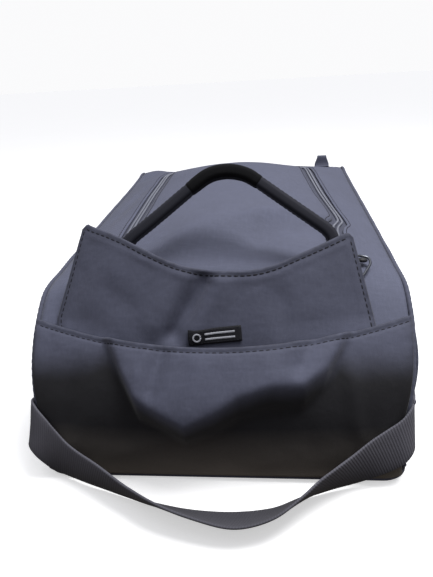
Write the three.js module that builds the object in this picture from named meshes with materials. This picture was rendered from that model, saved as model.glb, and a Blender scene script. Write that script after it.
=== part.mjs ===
// A soft-sided golf shoe bag, in millimetres: +Z is up, the short end with the slip pocket faces -Y.
// One long band of cloth makes the front end, the top and the back end. Two flat panels close its sides.
import * as THREE from 'three';

// ---- Driving dimensions ----
const HALF_WIDTH = 112; // half the width of the band, seam to seam
const CLOTH = 1.6; // padded cloth
const GAP = 0.35; // clearance between pieces that touch
const BASE_THICKNESS = 3;
const BOARD_THICKNESS = 1.8;
const BOARD_INSET = 8;
const CORNER_RADIUS = 16; // plan corners of the base
const PIPING_RADIUS = 1.6;
const WEBBING = 26; // width of the end strap
const WEBBING_THICKNESS = 1.5;

const ZIP_LEFT = [-69, -72]; // the left leg's distance from the bag's middle, at the front and at the far end
const ZIP_RIGHT = [79, 70];
const ZIP_CORNER = 26; // radius of the U's far corners
const ZIP_SLOT = 5.5; // half the slot in the cloth that the zip shows through
const TAPE_REACH = 9.5; // half the width of the zip, tapes included
const TAPE = 0.85;
const COIL_REACH = 2.4;

const ZIP_START_Y = 57; // front ends of the zip
const FOLD_Y = 121; // where the top folds when it opens
const ZIP_END_Y = 342; // the zip's run across the far end
const SEAM_Y = 357; // far top seam

// The side seam from the front foot over the shoulder to the back foot: y, z and how far the band swells in its middle.
const SEAM = [
  [2, 3.4, 0], [4, 25, 2], [9.5, 48, 3.5], [20, 68, 4], [36, 87, 4.5], [55, 100, 9], [85, 103.5, 19],
  [118, 106, 26], [200, 112, 28], [285, 117.5, 26], [330, 121, 13], [356, 123, 2], [369, 117, 1],
  [374, 95, 4], [374, 60, 7], [371, 25, 4], [366, 3.4, 0],
];

// ---- The band's surface ----
const seam = new THREE.CatmullRomCurve3(SEAM.map(([y, z]) => new THREE.Vector3(0, y, z)), false, 'centripetal');
seam.arcLengthDivisions = 600;
const swell = new THREE.CatmullRomCurve3(
  SEAM.map(([, , height], i) => new THREE.Vector3(height, 20 * i, 0)), false, 'centripetal');
const BAND_LENGTH = seam.getLength();

/** A point on the band: x across it, s along it from the front foot, out along its normal. */
function onBand(x, s, out = 0) {
  const u = THREE.MathUtils.clamp(s / BAND_LENGTH, 0, 1);
  const p = seam.getPointAt(u);
  const t = seam.getTangentAt(u);
  const height = swell.getPoint(seam.getUtoTmapping(u)).x * (1 - (x / HALF_WIDTH) ** 2) + out;
  return new THREE.Vector3(x, p.y - t.z * height, p.z + t.y * height);
}

/** The distance along the band at which the seam first reaches a coordinate, 'y' or 'z'. */
function along(axis, value) {
  let low = 0;
  let high = 0.82;
  for (let i = 0; i < 40; i += 1) {
    const middle = (low + high) / 2;
    if (seam.getPointAt(middle)[axis] < value) low = middle;
    else high = middle;
  }
  return low * BAND_LENGTH;
}

const ZIP_START = along('y', ZIP_START_Y);
const FOLD = along('y', FOLD_Y);
const ZIP_END = along('y', ZIP_END_Y);
const FAR_SEAM = along('y', SEAM_Y);

// ---- Building closed solids ----
const lerp = THREE.MathUtils.lerp;
const steps = (from, to, count) => Array.from({ length: count + 1 }, (_, i) => lerp(from, to, i / count));

/** Turns a solid's faces outwards, whichever way its points were listed. */
function facingOut(positions, triangles) {
  const [a, b, c] = [new THREE.Vector3(), new THREE.Vector3(), new THREE.Vector3()];
  let volume = 0;
  for (const [i, j, k] of triangles) {
    volume += a.copy(positions[i]).dot(b.copy(positions[j]).cross(c.copy(positions[k])));
  }
  const index = volume < 0 ? triangles.flatMap(([i, j, k]) => [i, k, j]) : triangles.flat();
  const geometry = new THREE.BufferGeometry().setFromPoints(positions);
  geometry.setIndex(index);
  geometry.computeVertexNormals();
  return geometry;
}

/** A sheet between two grids of points of the same size, closed along its edges. */
function sheet(outer, inner) {
  const rows = outer.length;
  const columns = outer[0].length;
  const at = (i, j, side) => side * rows * columns + i * columns + j;
  const triangles = [];
  const quad = (a, b, c, d) => triangles.push([a, b, c], [a, c, d]);
  for (let i = 0; i + 1 < rows; i += 1) {
    for (let j = 0; j + 1 < columns; j += 1) {
      quad(at(i, j, 0), at(i, j + 1, 0), at(i + 1, j + 1, 0), at(i + 1, j, 0));
      quad(at(i, j, 1), at(i + 1, j, 1), at(i + 1, j + 1, 1), at(i, j + 1, 1));
    }
    quad(at(i, 0, 0), at(i + 1, 0, 0), at(i + 1, 0, 1), at(i, 0, 1));
    quad(at(i, columns - 1, 0), at(i, columns - 1, 1), at(i + 1, columns - 1, 1), at(i + 1, columns - 1, 0));
  }
  for (let j = 0; j + 1 < columns; j += 1) {
    quad(at(0, j, 0), at(0, j, 1), at(0, j + 1, 1), at(0, j + 1, 0));
    quad(at(rows - 1, j, 0), at(rows - 1, j + 1, 0), at(rows - 1, j + 1, 1), at(rows - 1, j, 1));
  }
  return facingOut([...outer.flat(), ...inner.flat()], triangles);
}

/** A sheet of the band's cloth over a grid of [x, s] places, between two heights off its surface. */
function bandSheet(places, top = 0, bottom = -CLOTH) {
  const face = (out) => places.map((row) => row.map(([x, s]) => onBand(x, s, out)));
  return sheet(face(top), face(bottom));
}

/** A solid through rings of points, all the same section. The section's outline, in 2D, closes its ends. */
function loft(rings, outline, endless = false) {
  const count = outline.length;
  const triangles = [];
  const last = endless ? rings.length : rings.length - 1;
  for (let i = 0; i < last; i += 1) {
    const next = (i + 1) % rings.length;
    for (let j = 0; j < count; j += 1) {
      const k = (j + 1) % count;
      triangles.push([i * count + j, i * count + k, next * count + k]);
      triangles.push([i * count + j, next * count + k, next * count + j]);
    }
  }
  if (!endless) {
    const flat = outline.map(([p, q]) => new THREE.Vector2(p, q));
    const turn = Math.sign(THREE.ShapeUtils.area(flat));
    const end = (rings.length - 1) * count;
    for (const corners of THREE.ShapeUtils.triangulateShape(flat, [])) {
      const same = Math.sign(THREE.ShapeUtils.area(corners.map((i) => flat[i]))) === turn;
      const [i, j, k] = same ? corners : corners.toReversed();
      triangles.push([i, k, j], [end + i, end + j, end + k]);
    }
  }
  return facingOut(rings.flat(), triangles);
}

/** Rings for a section of [across, up] points carried along stations, each with a centre and two directions. */
function carried(stations, outline) {
  return stations.map(({ centre, across, up }) => outline.map(([p, q]) => (
    centre.clone().addScaledVector(across, p).addScaledVector(up, q))));
}

const circle = (radius, sides) => steps(0, 2 * Math.PI, sides).slice(0, -1)
  .map((angle) => [radius * Math.cos(angle), radius * Math.sin(angle)]);
const rectangle = (width, height) => [
  [-width / 2, -height / 2], [width / 2, -height / 2], [width / 2, height / 2], [-width / 2, height / 2],
];
/** A webbing roll's section: flat faces with rounded edges. */
const roundedBar = (width, height) => {
  const [w, h, c] = [width / 2, height / 2, 0.3 * Math.min(width, height)];
  return [[-w + c, -h], [w - c, -h], [w, -h + c], [w, h - c], [w - c, h], [-w + c, h], [-w, h - c], [-w, -h + c]];
};

function roundedRectangle(x0, y0, x1, y1, r) {
  const shape = new THREE.Shape();
  shape.moveTo(x0 + r, y0);
  shape.lineTo(x1 - r, y0).absarc(x1 - r, y0 + r, r, -Math.PI / 2, 0);
  shape.lineTo(x1, y1 - r).absarc(x1 - r, y1 - r, r, 0, Math.PI / 2);
  shape.lineTo(x0 + r, y1).absarc(x0 + r, y1 - r, r, Math.PI / 2, Math.PI);
  shape.lineTo(x0, y0 + r).absarc(x0 + r, y0 + r, r, Math.PI, 1.5 * Math.PI);
  return shape;
}

const extruded = (shape, depth) => new THREE.ExtrudeGeometry(shape, { depth, bevelEnabled: false, curveSegments: 5 });

// ---- Materials ----
const finish = (color, roughness, metalness = 0) => ({ color, roughness, metalness });
const CLOTH_FINISH = finish(0x5b5d6c, 0.75);
const LINING_FINISH = finish(0x3c3d47, 0.85);
const BOARD_FINISH = finish(0x2b2b2e, 0.8);
const WEBBING_FINISH = finish(0x44444f, 0.85);
const GRIP_FINISH = finish(0x1a1a1e, 0.8);
const TAPE_FINISH = finish(0x666878, 0.6);
const METAL_FINISH = finish(0xd0d2d6, 0.25, 1);
const LABEL_FINISH = finish(0x1d1e26, 0.8);

const bag = new THREE.Group();

function add(name, geometry, look, parent = bag) {
  const mesh = new THREE.Mesh(geometry, new THREE.MeshStandardMaterial(look));
  mesh.name = name;
  parent.add(mesh);
  return mesh;
}

// ---- Base ----
function addBase() {
  const low = SEAM[0][0] - 1.5;
  const high = SEAM.at(-1)[0] + 1.5;
  const edge = HALF_WIDTH - 1;
  const panel = roundedRectangle(-edge, low, edge, high, CORNER_RADIUS);
  add('base_panel', extruded(panel, BASE_THICKNESS), CLOTH_FINISH);
  const inner = edge - BOARD_INSET;
  const board = roundedRectangle(-inner, low + BOARD_INSET, inner, high - BOARD_INSET, CORNER_RADIUS - BOARD_INSET);
  add('base_board', extruded(board, BOARD_THICKNESS), BOARD_FINISH).position.z = BASE_THICKNESS + GAP;
}

// ---- End panels, sides and piping ----
const EDGE_X = HALF_WIDTH - 0.6; // the band's cut edge, just inside the piping

function addEnds() {
  const across = steps(-EDGE_X, EDGE_X, 10);
  const front = steps(0, ZIP_START, 9).map((s) => across.map((x) => [x, s]));
  add('front_end_panel', bandSheet(front), CLOTH_FINISH);
  const back = steps(FAR_SEAM + GAP, BAND_LENGTH, 8).map((s) => across.map((x) => [x, s]));
  add('back_end_panel', bandSheet(back), CLOTH_FINISH);
}

function addSides() {
  const inset = PIPING_RADIUS + 2 * GAP;
  const outline = steps(0, BAND_LENGTH, 34).map((s) => {
    const p = seam.getPointAt(s / BAND_LENGTH);
    const t = seam.getTangentAt(s / BAND_LENGTH);
    return new THREE.Vector2(p.y + t.z * inset, Math.max(p.z - t.y * inset, SEAM[0][1]));
  });
  for (const [name, side] of [['left', -1], ['right', 1]]) {
    const panel = extruded(new THREE.Shape(outline), CLOTH);
    panel.applyMatrix4(new THREE.Matrix4().makeBasis(
      new THREE.Vector3(0, 1, 0), new THREE.Vector3(0, 0, 1), new THREE.Vector3(1, 0, 0)));
    add(`side_panel_${name}`, panel, CLOTH_FINISH).position.x = side < 0 ? -HALF_WIDTH - CLOTH : HALF_WIDTH;

    const stations = steps(0, BAND_LENGTH, 44).map((s) => {
      const tangent = seam.getTangentAt(s / BAND_LENGTH);
      const centre = seam.getPointAt(s / BAND_LENGTH);
      centre.x = side * (HALF_WIDTH + 1.3);
      return { centre, across: new THREE.Vector3(1, 0, 0), up: new THREE.Vector3(0, -tangent.z, tangent.y) };
    });
    const round = circle(PIPING_RADIUS, 8);
    add(`piping_${name}`, loft(carried(stations, round), round), WEBBING_FINISH);
  }
}

// ---- Top: the U-shaped zip and the cloth on both sides of it ----
const CORNER_START = ZIP_END - ZIP_CORNER;
const CORNER_STEPS = 5;
const LEG_STEPS = 9;
const FLAT_LEFT = ZIP_LEFT[1] + ZIP_CORNER; // the straight run across the far end
const FLAT_RIGHT = ZIP_RIGHT[1] - ZIP_CORNER;

/** Where a zip leg's coil lies across the bag, on side -1 or 1, some way along the band. */
function legX(side, s) {
  const [front, far] = side < 0 ? ZIP_LEFT : ZIP_RIGHT;
  return THREE.MathUtils.mapLinear(Math.min(s, CORNER_START), ZIP_START, CORNER_START, front, far);
}

/** Places up one leg of the U and round its corner, a distance outside the coil's middle. */
function halfU(side, outside, from, legSteps = LEG_STEPS) {
  const leg = steps(from, CORNER_START, legSteps).map((s) => [legX(side, s) + side * outside, s]);
  const radius = ZIP_CORNER + outside;
  const corner = steps(0, Math.PI / 2, CORNER_STEPS).slice(1).map((angle) => [
    (side < 0 ? FLAT_LEFT : FLAT_RIGHT) + side * radius * Math.cos(angle), CORNER_START + radius * Math.sin(angle)]);
  return [...leg, ...corner];
}

/** Places along the whole U, from its front left end to its front right end. */
function aroundU(outside, from = ZIP_START) {
  const between = steps(FLAT_LEFT, FLAT_RIGHT, 6).slice(1, -1).map((x) => [x, ZIP_END + outside]);
  return [...halfU(-1, outside, from), ...between, ...halfU(1, outside, from).reverse()];
}

/** The same places pushed out to the seams round the top. */
function aroundTop(from) {
  const square = 0.22; // how closely the corner fills the square between the seams
  return aroundU(0, from).map(([x, s], i, all) => {
    const k = Math.min(i, all.length - 1 - i);
    const side = i * 2 < all.length ? -1 : 1;
    if (k <= LEG_STEPS) return [side * EDGE_X, s];
    if (k >= LEG_STEPS + CORNER_STEPS) return [x, FAR_SEAM];
    const angle = ((k - LEG_STEPS) / CORNER_STEPS) * (Math.PI / 2);
    const flat = side < 0 ? FLAT_LEFT : FLAT_RIGHT;
    const reach = EDGE_X - Math.abs(flat);
    return [flat + side * reach * Math.cos(angle) ** square,
      CORNER_START + (FAR_SEAM - CORNER_START) * Math.sin(angle) ** square];
  });
}

/** Half of the zip: its tape and the coil along its edge, as one section carried along places. */
function zipHalf(placesAt) {
  const under = -CLOTH - 2.5 * GAP;
  const section = [
    [0.2, under - TAPE], [TAPE_REACH, under - TAPE], [TAPE_REACH, under],
    [COIL_REACH, under], [COIL_REACH, -0.3], [0.2, -0.3],
  ];
  const lines = section.map(([reach, out]) => placesAt(reach).map(([x, s]) => onBand(x, s, out)));
  const rings = lines[0].map((_, i) => lines.map((line) => line[i]));
  return loft(rings, section);
}

const ZIP_FRONT = ZIP_START + 4; // the coil starts behind its end stops

function addTop() {
  const inner = aroundU(ZIP_SLOT, ZIP_START + GAP);
  const outer = aroundTop(ZIP_START + GAP);
  const bands = [0, 0.5, 1];
  const places = inner.map((p, i) => bands.map((k) => [lerp(p[0], outer[i][0], k), lerp(p[1], outer[i][1], k)]));
  add('top_surround', bandSheet(places), CLOTH_FINISH);
  add('zip_half_outer', zipHalf((reach) => aroundU(reach, ZIP_FRONT)), TAPE_FINISH);

  const front = steps(ZIP_START + GAP, FOLD, 5).map((s) => (
    steps(legX(-1, s) + ZIP_SLOT, legX(1, s) - ZIP_SLOT, 10).map((x) => [x, s])));
  add('top_front_panel', bandSheet(front), CLOTH_FINISH);
  for (const [name, side] of [['left', -1], ['right', 1]]) {
    const leg = (inside) => steps(ZIP_FRONT, FOLD, 4).map((s) => [legX(side, s) - side * inside, s]);
    add(`zip_half_front_${name}`, zipHalf(leg), TAPE_FINISH);
    const stop = steps(ZIP_START + 1, ZIP_START + 3.4, 1)
      .map((s) => steps(-3, 3, 1).map((x) => [legX(side, s) + x, s]));
    add(`zip_stop_${name}`, bandSheet(stop, -0.2, -CLOTH - GAP), METAL_FINISH);
  }
}

function addLid() {
  const start = FOLD + GAP;
  const left = halfU(-1, -ZIP_SLOT, start);
  const right = halfU(1, -ZIP_SLOT, start);
  const rows = left.map(([x, s], i) => steps(x, right[i][0], 12).map((across) => [across, s]));
  add('lid_panel', bandSheet(rows), CLOTH_FINISH);
  add('zip_half_lid', zipHalf((reach) => aroundU(-reach, start)), TAPE_FINISH);
}

// ---- Zip slider and its pull ----
const SLIDER_LENGTH = 10;
const SLIDER_WIDTH = 8.4;
const SLIDER_WALL = 1.4;

/** The straight line that the slider runs along, from the front end of the right leg. */
function sliderLine() {
  const [near, far] = [ZIP_FRONT + 1, ZIP_FRONT + 56];
  const start = onBand(legX(1, near), near);
  const forward = onBand(legX(1, far), far).sub(start).normalize();
  const up = new THREE.Vector3(1, 0, 0).cross(forward).normalize();
  return { start, forward, across: forward.clone().cross(up), up };
}

function addSlider() {
  const { start, forward, across, up } = sliderLine();
  const place = new THREE.Group();
  place.applyMatrix4(new THREE.Matrix4().makeBasis(across, forward, up).setPosition(start));
  bag.add(place);
  const [w, low, high] = [SLIDER_WIDTH / 2, 0.6, 3.2];
  const channel = new THREE.Shape([[-w, low], [-w, high - 0.8], [-w + 1.2, high], [w - 1.2, high], [w, high - 0.8],
    [w, low], [w - SLIDER_WALL, low], [w - SLIDER_WALL, high - SLIDER_WALL], [-w + SLIDER_WALL, high - SLIDER_WALL],
    [-w + SLIDER_WALL, low]].map(([p, q]) => new THREE.Vector2(p, q)));
  const body = extruded(channel, SLIDER_LENGTH);
  body.rotateX(Math.PI / 2).translate(0, SLIDER_LENGTH, 0);
  add('zip_slider', body, METAL_FINISH, place);
  addBridge(place, high);
  addPull(place, high);
}

const BRIDGE_RISE = 4; // the arch that holds the pull
const BRIDGE_HALF = 4.2;
const BRIDGE_WALL = 1.2;
const BRIDGE_WIDTH = 2;

function addBridge(place, top) {
  const arch = new THREE.Shape();
  const inner = BRIDGE_HALF - BRIDGE_WALL;
  arch.moveTo(-BRIDGE_HALF, 0).lineTo(-BRIDGE_HALF, BRIDGE_RISE - 1).lineTo(-BRIDGE_HALF + 1, BRIDGE_RISE);
  arch.lineTo(BRIDGE_HALF - 1, BRIDGE_RISE).lineTo(BRIDGE_HALF, BRIDGE_RISE - 1).lineTo(BRIDGE_HALF, 0);
  arch.lineTo(inner, 0).lineTo(inner, BRIDGE_RISE - BRIDGE_WALL);
  arch.lineTo(-inner, BRIDGE_RISE - BRIDGE_WALL).lineTo(-inner, 0);
  const bridge = extruded(arch, BRIDGE_WIDTH);
  bridge.rotateX(Math.PI / 2).rotateZ(Math.PI / 2);
  bridge.translate(-BRIDGE_WIDTH / 2, SLIDER_LENGTH / 2, top + GAP);
  add('slider_bridge', bridge, METAL_FINISH, place);
}

const WIRE = 0.9; // radius of the pull's wire
const PULL_LENGTH = 19;
const PULL_HALF = 6;
const PULL_DROOP = 0.22; // radians below the slider's top
const PULL_TURN = 0.7; // radians from straight ahead of the slider towards the side seam

/** The pull: a wire loop through the bridge, lying forward and out to the side. */
function addPull(place, top) {
  const axis = new THREE.Vector3(0, SLIDER_LENGTH / 2, top + GAP + WIRE + 0.45);
  const turned = new THREE.Euler(0, PULL_DROOP, PULL_TURN - Math.PI / 2, 'ZYX');
  const half = [[0, 2.4], [1.2, 4.6], [5, PULL_HALF], [10, PULL_HALF], [15, PULL_HALF - 1], [PULL_LENGTH, 2]];
  const corners = [...half, ...half.map(([p, q]) => [p, -q]).reverse()];
  const path = new THREE.CatmullRomCurve3(corners.map(([p, q]) => (
    new THREE.Vector3(p, q, 0).applyEuler(turned).add(axis))), true, 'centripetal');
  const lie = new THREE.Vector3(0, 0, 1).applyEuler(turned);
  const stations = steps(0, 1, 28).slice(0, -1).map((u) => ({
    centre: path.getPointAt(u), across: path.getTangentAt(u).cross(lie).normalize(), up: lie,
  }));
  const round = circle(WIRE, 6);
  add('zip_pull', loft(carried(stations, round), round, true), METAL_FINISH, place);
}

// ---- Slip pocket on the front end ----
const POCKET_SWELL = 15; // how far its mouth stands off the end panel
const HEM = 8;

const pocketOut = (x, share) => 2 * GAP
  + POCKET_SWELL * THREE.MathUtils.smoothstep(share, 0.05, 0.65) * (1 - (x / EDGE_X) ** 2) ** 1.05;
/** Along the band, the mouth dips from the seams to the middle. */
const mouthAt = (x) => lerp(along('z', 72), along('z', 87), (x / EDGE_X) ** 2);

function addPocket() {
  const across = steps(-EDGE_X, EDGE_X, 14);
  const rows = (from, to, count) => steps(from, to, count);
  const face = (shares, thickness) => shares.map((share) => across.map((x) => (
    onBand(x, Math.max(share * mouthAt(x), 0), pocketOut(x, share) + thickness))));
  const below = 1 - HEM / mouthAt(0);
  const panel = rows(0.004, below, 8);
  add('front_pocket', sheet(face(panel, CLOTH), face(panel, 0)), CLOTH_FINISH);
  const hem = rows(below + 0.006, 1, 1);
  add('pocket_hem', sheet(face(hem, CLOTH + 0.7), face(hem, -0.5)), CLOTH_FINISH);
}

// ---- Cover flap behind the pocket's mouth ----
const FLAP_FOLD_Z = 91;
const FLAP_FOLD_Y = 21.3;
const FLAP_HALF = 94; // half its width at the fold
const FLAP_TAPER = 17; // how much each side draws in towards the top corners
const FLAP_MIDDLE_Z = 117;
const FLAP_CORNER_Z = 139;
const FLAP_LEAN = 0.42;
const FLAP_BOW = 12; // its sides lie further back than its middle
const FLAP_SHIFT = -4;

const flapPoint = (u, z, back = 0) => {
  const rise = (z - FLAP_FOLD_Z) / (FLAP_CORNER_Z - FLAP_FOLD_Z);
  const half = FLAP_HALF - FLAP_TAPER * THREE.MathUtils.clamp(rise, 0, 1);
  return new THREE.Vector3(FLAP_SHIFT + u * half, FLAP_FOLD_Y + FLAP_BOW * u * u
    + FLAP_LEAN * (z - FLAP_FOLD_Z) + back, z);
};
const flapTop = (u) => lerp(FLAP_MIDDLE_Z, FLAP_CORNER_Z, Math.abs(u) ** 1.5) - 4 * u;

function addFlap() {
  const across = steps(-1, 1, 14);
  const face = (back) => steps(0, 1, 5).map((v) => across.map((u) => (
    flapPoint(u, lerp(FLAP_FOLD_Z + GAP, flapTop(u), v), back))));
  add('cover_flap', sheet(face(0), face(CLOTH)), CLOTH_FINISH);

  const root = (back) => steps(0, 1, 2).map((v) => across.map((u) => {
    const sewn = onBand(u * FLAP_HALF, along('z', 67), CLOTH + GAP - back);
    return sewn.lerp(flapPoint(u, FLAP_FOLD_Z - 0.2, back), v);
  }));
  add('flap_base', sheet(root(0), root(CLOTH)), CLOTH_FINISH);

  const [labelHalf, low, high] = [0.175, 79.5, 87.5];
  const label = (back) => steps(low, high, 1).map((z) => steps(-labelHalf, labelHalf, 4)
    .map((u) => onFlapBase(u, z, back)));
  add('flap_label', sheet(label(-GAP - 0.8), label(-GAP)), LABEL_FINISH);
}

/** A point on the front of the flap's sewn base, at a height. */
function onFlapBase(u, z, back) {
  const sewn = onBand(u * FLAP_HALF, along('z', 67), CLOTH + GAP);
  const fold = flapPoint(u, FLAP_FOLD_Z - 0.2);
  const point = sewn.clone().lerp(fold, (z - sewn.z) / (fold.z - sewn.z));
  point.y += back;
  return point;
}

// ---- Carry handle ----
const HANDLE_Y = 53; // the line it swings about
const HANDLE_Z = 113;
const HANDLE_ENDS = [-58, 66];
const HANDLE_ARCH = [ // across the bag and up the arch, from the left end to the right end
  [-58, 2], [-56, 10], [-49, 18], [-28, 39], [-7, 57], [11, 60], [23, 58], [32, 52], [48, 38], [65, 20], [70, 11], [66, 2],
];
const HANDLE_LEAN = 0.42; // radians back from upright
const HANDLE_WIDTH = 9;
const HANDLE_THICKNESS = 5;

/** Stations along the handle's arch, each with the arch plane's normal as its up direction. */
function handleStations(from, to, count) {
  const arch = new THREE.CatmullRomCurve3(HANDLE_ARCH.map(([x, rise]) => new THREE.Vector3(
    x, HANDLE_Y + rise * Math.sin(HANDLE_LEAN), HANDLE_Z + rise * Math.cos(HANDLE_LEAN))), false, 'centripetal');
  const normal = new THREE.Vector3(0, Math.cos(HANDLE_LEAN), -Math.sin(HANDLE_LEAN));
  return steps(from, to, count).map((u) => ({
    centre: arch.getPointAt(u), across: normal.clone().cross(arch.getTangentAt(u)), up: normal,
  }));
}

function addHandle() {
  const bar = roundedBar(HANDLE_THICKNESS, HANDLE_WIDTH);
  add('carry_handle', loft(carried(handleStations(0, 1, 26), bar), bar), WEBBING_FINISH);

  const stations = handleStations(0.34, 0.64, 8);
  const skin = roundedBar(HANDLE_THICKNESS + 3, HANDLE_WIDTH + 3);
  const hole = roundedBar(HANDLE_THICKNESS + 2 * GAP, HANDLE_WIDTH + 2 * GAP);
  const sleeve = [...carried(stations, skin), ...carried(stations, hole).reverse()];
  add('handle_grip', loft(sleeve, skin, true), GRIP_FINISH);

  for (const [name, x] of [['left', HANDLE_ENDS[0]], ['right', HANDLE_ENDS[1]]]) {
    const places = steps(along('y', 38), along('y', 52), 2).map((s) => steps(-6, 6, 1).map((dx) => [x + dx, s]));
    add(`handle_tab_${name}`, bandSheet(places, GAP + 2, GAP), WEBBING_FINISH);
  }
}

// ---- End strap ----
// Its lower and upper edges, laid by hand from the left seam down to the ground and back up to the right seam.
const STRAP_SIDE = HALF_WIDTH + 4.6;
const STRAP_TOP = 48; // where its ends are sewn on
const STRAP_EDGES = [
  [[-STRAP_SIDE, 13, STRAP_TOP - WEBBING], [-STRAP_SIDE, 13, STRAP_TOP]],
  [[-STRAP_SIDE, 4, 21], [-STRAP_SIDE, 4, 46.8]],
  [[-111, -2.2, 10], [-105.5, -1.8, 35.3]],
  [[-91, -6, 4], [-84, -9, 29]],
  [[-67.6, -13, 1.8], [-60, -23.5, 25]],
  [[-38, -22.6, 1.6], [-32.4, -40.5, 20]],
  [[-14.7, -26, 1.5], [-10.7, -47, 16]],
  [[10.4, -26.5, 1.5], [12, -50, 12.5]],
  [[29.5, -23.6, 1.5], [32, -45.3, 15.5]],
  [[48.6, -17, 1.6], [47, -35.5, 20]],
  [[66, -10.5, 2], [61.7, -24, 23.5]],
  [[87, -6.5, 5], [82, -10, 30]],
  [[109.5, -2.2, 13], [104.5, -2, 38.5]],
  [[STRAP_SIDE, 4, 21.5], [STRAP_SIDE, 4, 47.3]],
  [[STRAP_SIDE, 13, STRAP_TOP - WEBBING], [STRAP_SIDE, 13, STRAP_TOP]],
];

function addStrap() {
  const [lower, upper] = [0, 1].map((k) => new THREE.CatmullRomCurve3(
    STRAP_EDGES.map((edges) => new THREE.Vector3(...edges[k])), false, 'centripetal'));
  const rings = steps(0, 1, 44).map((t) => {
    const [low, high] = [lower.getPoint(t), upper.getPoint(t)];
    const middle = (curve) => curve.getTangent(t);
    const normal = middle(lower).add(middle(upper)).cross(high.clone().sub(low)).setLength(WEBBING_THICKNESS / 2);
    return [low.clone().sub(normal), high.clone().sub(normal), high.clone().add(normal), low.clone().add(normal)];
  });
  add('end_strap', loft(rings, rectangle(WEBBING, WEBBING_THICKNESS)), WEBBING_FINISH);

  const [length, thickness, front] = [16, 1.5, 13];
  for (const [name, side] of [['left', -1], ['right', 1]]) {
    const tab = new THREE.BoxGeometry(thickness, length, WEBBING);
    const x = side * (HALF_WIDTH + CLOTH + GAP + thickness / 2);
    add(`strap_tab_${name}`, tab, WEBBING_FINISH).position.set(x, front + length / 2, STRAP_TOP - WEBBING / 2);
  }
}

// ---- Hanging loop at the far right corner ----
function addLoop() {
  const [half, rise, thickness, depth] = [7, 12, 3, 9];
  const arch = new THREE.Shape();
  arch.moveTo(-half, 0).lineTo(-half, rise - half).absarc(0, rise - half, half, Math.PI, 0, true).lineTo(half, 0);
  const hole = half - thickness;
  arch.lineTo(hole, 0).lineTo(hole, rise - half).absarc(0, rise - half, hole, 0, Math.PI, false).lineTo(-hole, 0);
  const loop = extruded(arch, depth);
  loop.rotateX(Math.PI / 2).translate(0, depth / 2, 0);
  const mesh = add('hanging_loop', loop, WEBBING_FINISH);
  const foot = onBand(90, FAR_SEAM - 7);
  mesh.position.set(foot.x, foot.y, foot.z + 1.6);
}

addBase();
addEnds();
addSides();
addTop();
addLid();
addSlider();
addPocket();
addFlap();
addHandle();
addStrap();
addLoop();

// The frame's origin is under the middle of everything.
const box = new THREE.Box3().setFromObject(bag);
bag.position.set(-(box.min.x + box.max.x) / 2, -(box.min.y + box.max.y) / 2, -box.min.z);

export default bag;
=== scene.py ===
"""A soft-sided golf shoe bag: cloth, webbing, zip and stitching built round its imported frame.

Sizes are millimetres in the bag's own layout, with y from its front foot, until metres() turns them to
the frame's.
"""
import math

import bmesh
import bpy
import numpy as np
from mathutils import Matrix, Vector, noise


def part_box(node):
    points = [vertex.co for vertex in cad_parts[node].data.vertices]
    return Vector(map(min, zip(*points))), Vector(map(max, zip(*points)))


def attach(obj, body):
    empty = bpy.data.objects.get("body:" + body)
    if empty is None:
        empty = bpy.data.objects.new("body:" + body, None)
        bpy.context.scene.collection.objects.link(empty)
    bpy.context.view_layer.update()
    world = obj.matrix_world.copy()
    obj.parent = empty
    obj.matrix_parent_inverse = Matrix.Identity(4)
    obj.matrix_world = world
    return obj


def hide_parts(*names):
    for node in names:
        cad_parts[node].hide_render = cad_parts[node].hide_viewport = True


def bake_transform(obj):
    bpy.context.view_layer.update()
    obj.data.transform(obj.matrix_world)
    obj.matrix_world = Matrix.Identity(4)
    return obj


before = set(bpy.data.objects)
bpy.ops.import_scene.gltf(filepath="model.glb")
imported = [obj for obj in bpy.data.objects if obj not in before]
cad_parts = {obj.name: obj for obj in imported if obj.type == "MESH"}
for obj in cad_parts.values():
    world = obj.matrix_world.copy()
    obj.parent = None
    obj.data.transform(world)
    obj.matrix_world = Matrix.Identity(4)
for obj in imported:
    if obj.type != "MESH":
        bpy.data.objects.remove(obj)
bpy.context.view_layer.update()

MM = 0.001
FOOT_Y = 0.5  # the base panel's front edge, in the bag's layout
SHIFT_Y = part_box("base_panel")[0].y / MM - FOOT_Y


def metres(points):
    """Layout millimetres to frame metres."""
    return (np.asarray(points, float) + (0.0, SHIFT_Y, 0.0)) * MM


# ---- Camera ----
CAMERA_AT = (32.0, -249.5, 222.4)
PITCH, YAW, ROLL = (math.radians(a) for a in (21.73, -6.34, -3.29))
LENS = 32.9


def set_camera():
    forward = Vector((math.sin(YAW) * math.cos(PITCH), math.cos(YAW) * math.cos(PITCH), -math.sin(PITCH)))
    level = Vector((math.cos(YAW), -math.sin(YAW), 0))
    right = level * math.cos(ROLL) + level.cross(forward) * math.sin(ROLL)
    data = bpy.data.cameras.new("camera")
    data.lens = LENS
    data.sensor_width = 36
    data.clip_start = 0.01
    camera = bpy.data.objects.new("camera", data)
    bpy.context.collection.objects.link(camera)
    turn = Matrix((right, right.cross(forward), -forward)).transposed().to_4x4()
    camera.matrix_world = Matrix.Translation(Vector(metres(CAMERA_AT))) @ turn
    bpy.context.scene.camera = camera


set_camera()

# ---- The band of cloth: the same layout as the frame's ----
HALF_WIDTH = 112
EDGE_X = HALF_WIDTH - 0.6
CLOTH = 1.6
SEAM = np.array([  # y, z and the swell in the middle of the band, from the front foot to the back foot
    (2, 3.4, 0), (4, 25, 2), (9.5, 48, 3.5), (20, 68, 4), (36, 87, 4.5), (55, 100, 9), (85, 103.5, 19),
    (118, 106, 26), (200, 112, 28), (285, 117.5, 26), (330, 121, 13), (356, 123, 2), (369, 117, 1),
    (374, 95, 4), (374, 60, 7), (371, 25, 4), (366, 3.4, 0),
], float)


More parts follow.
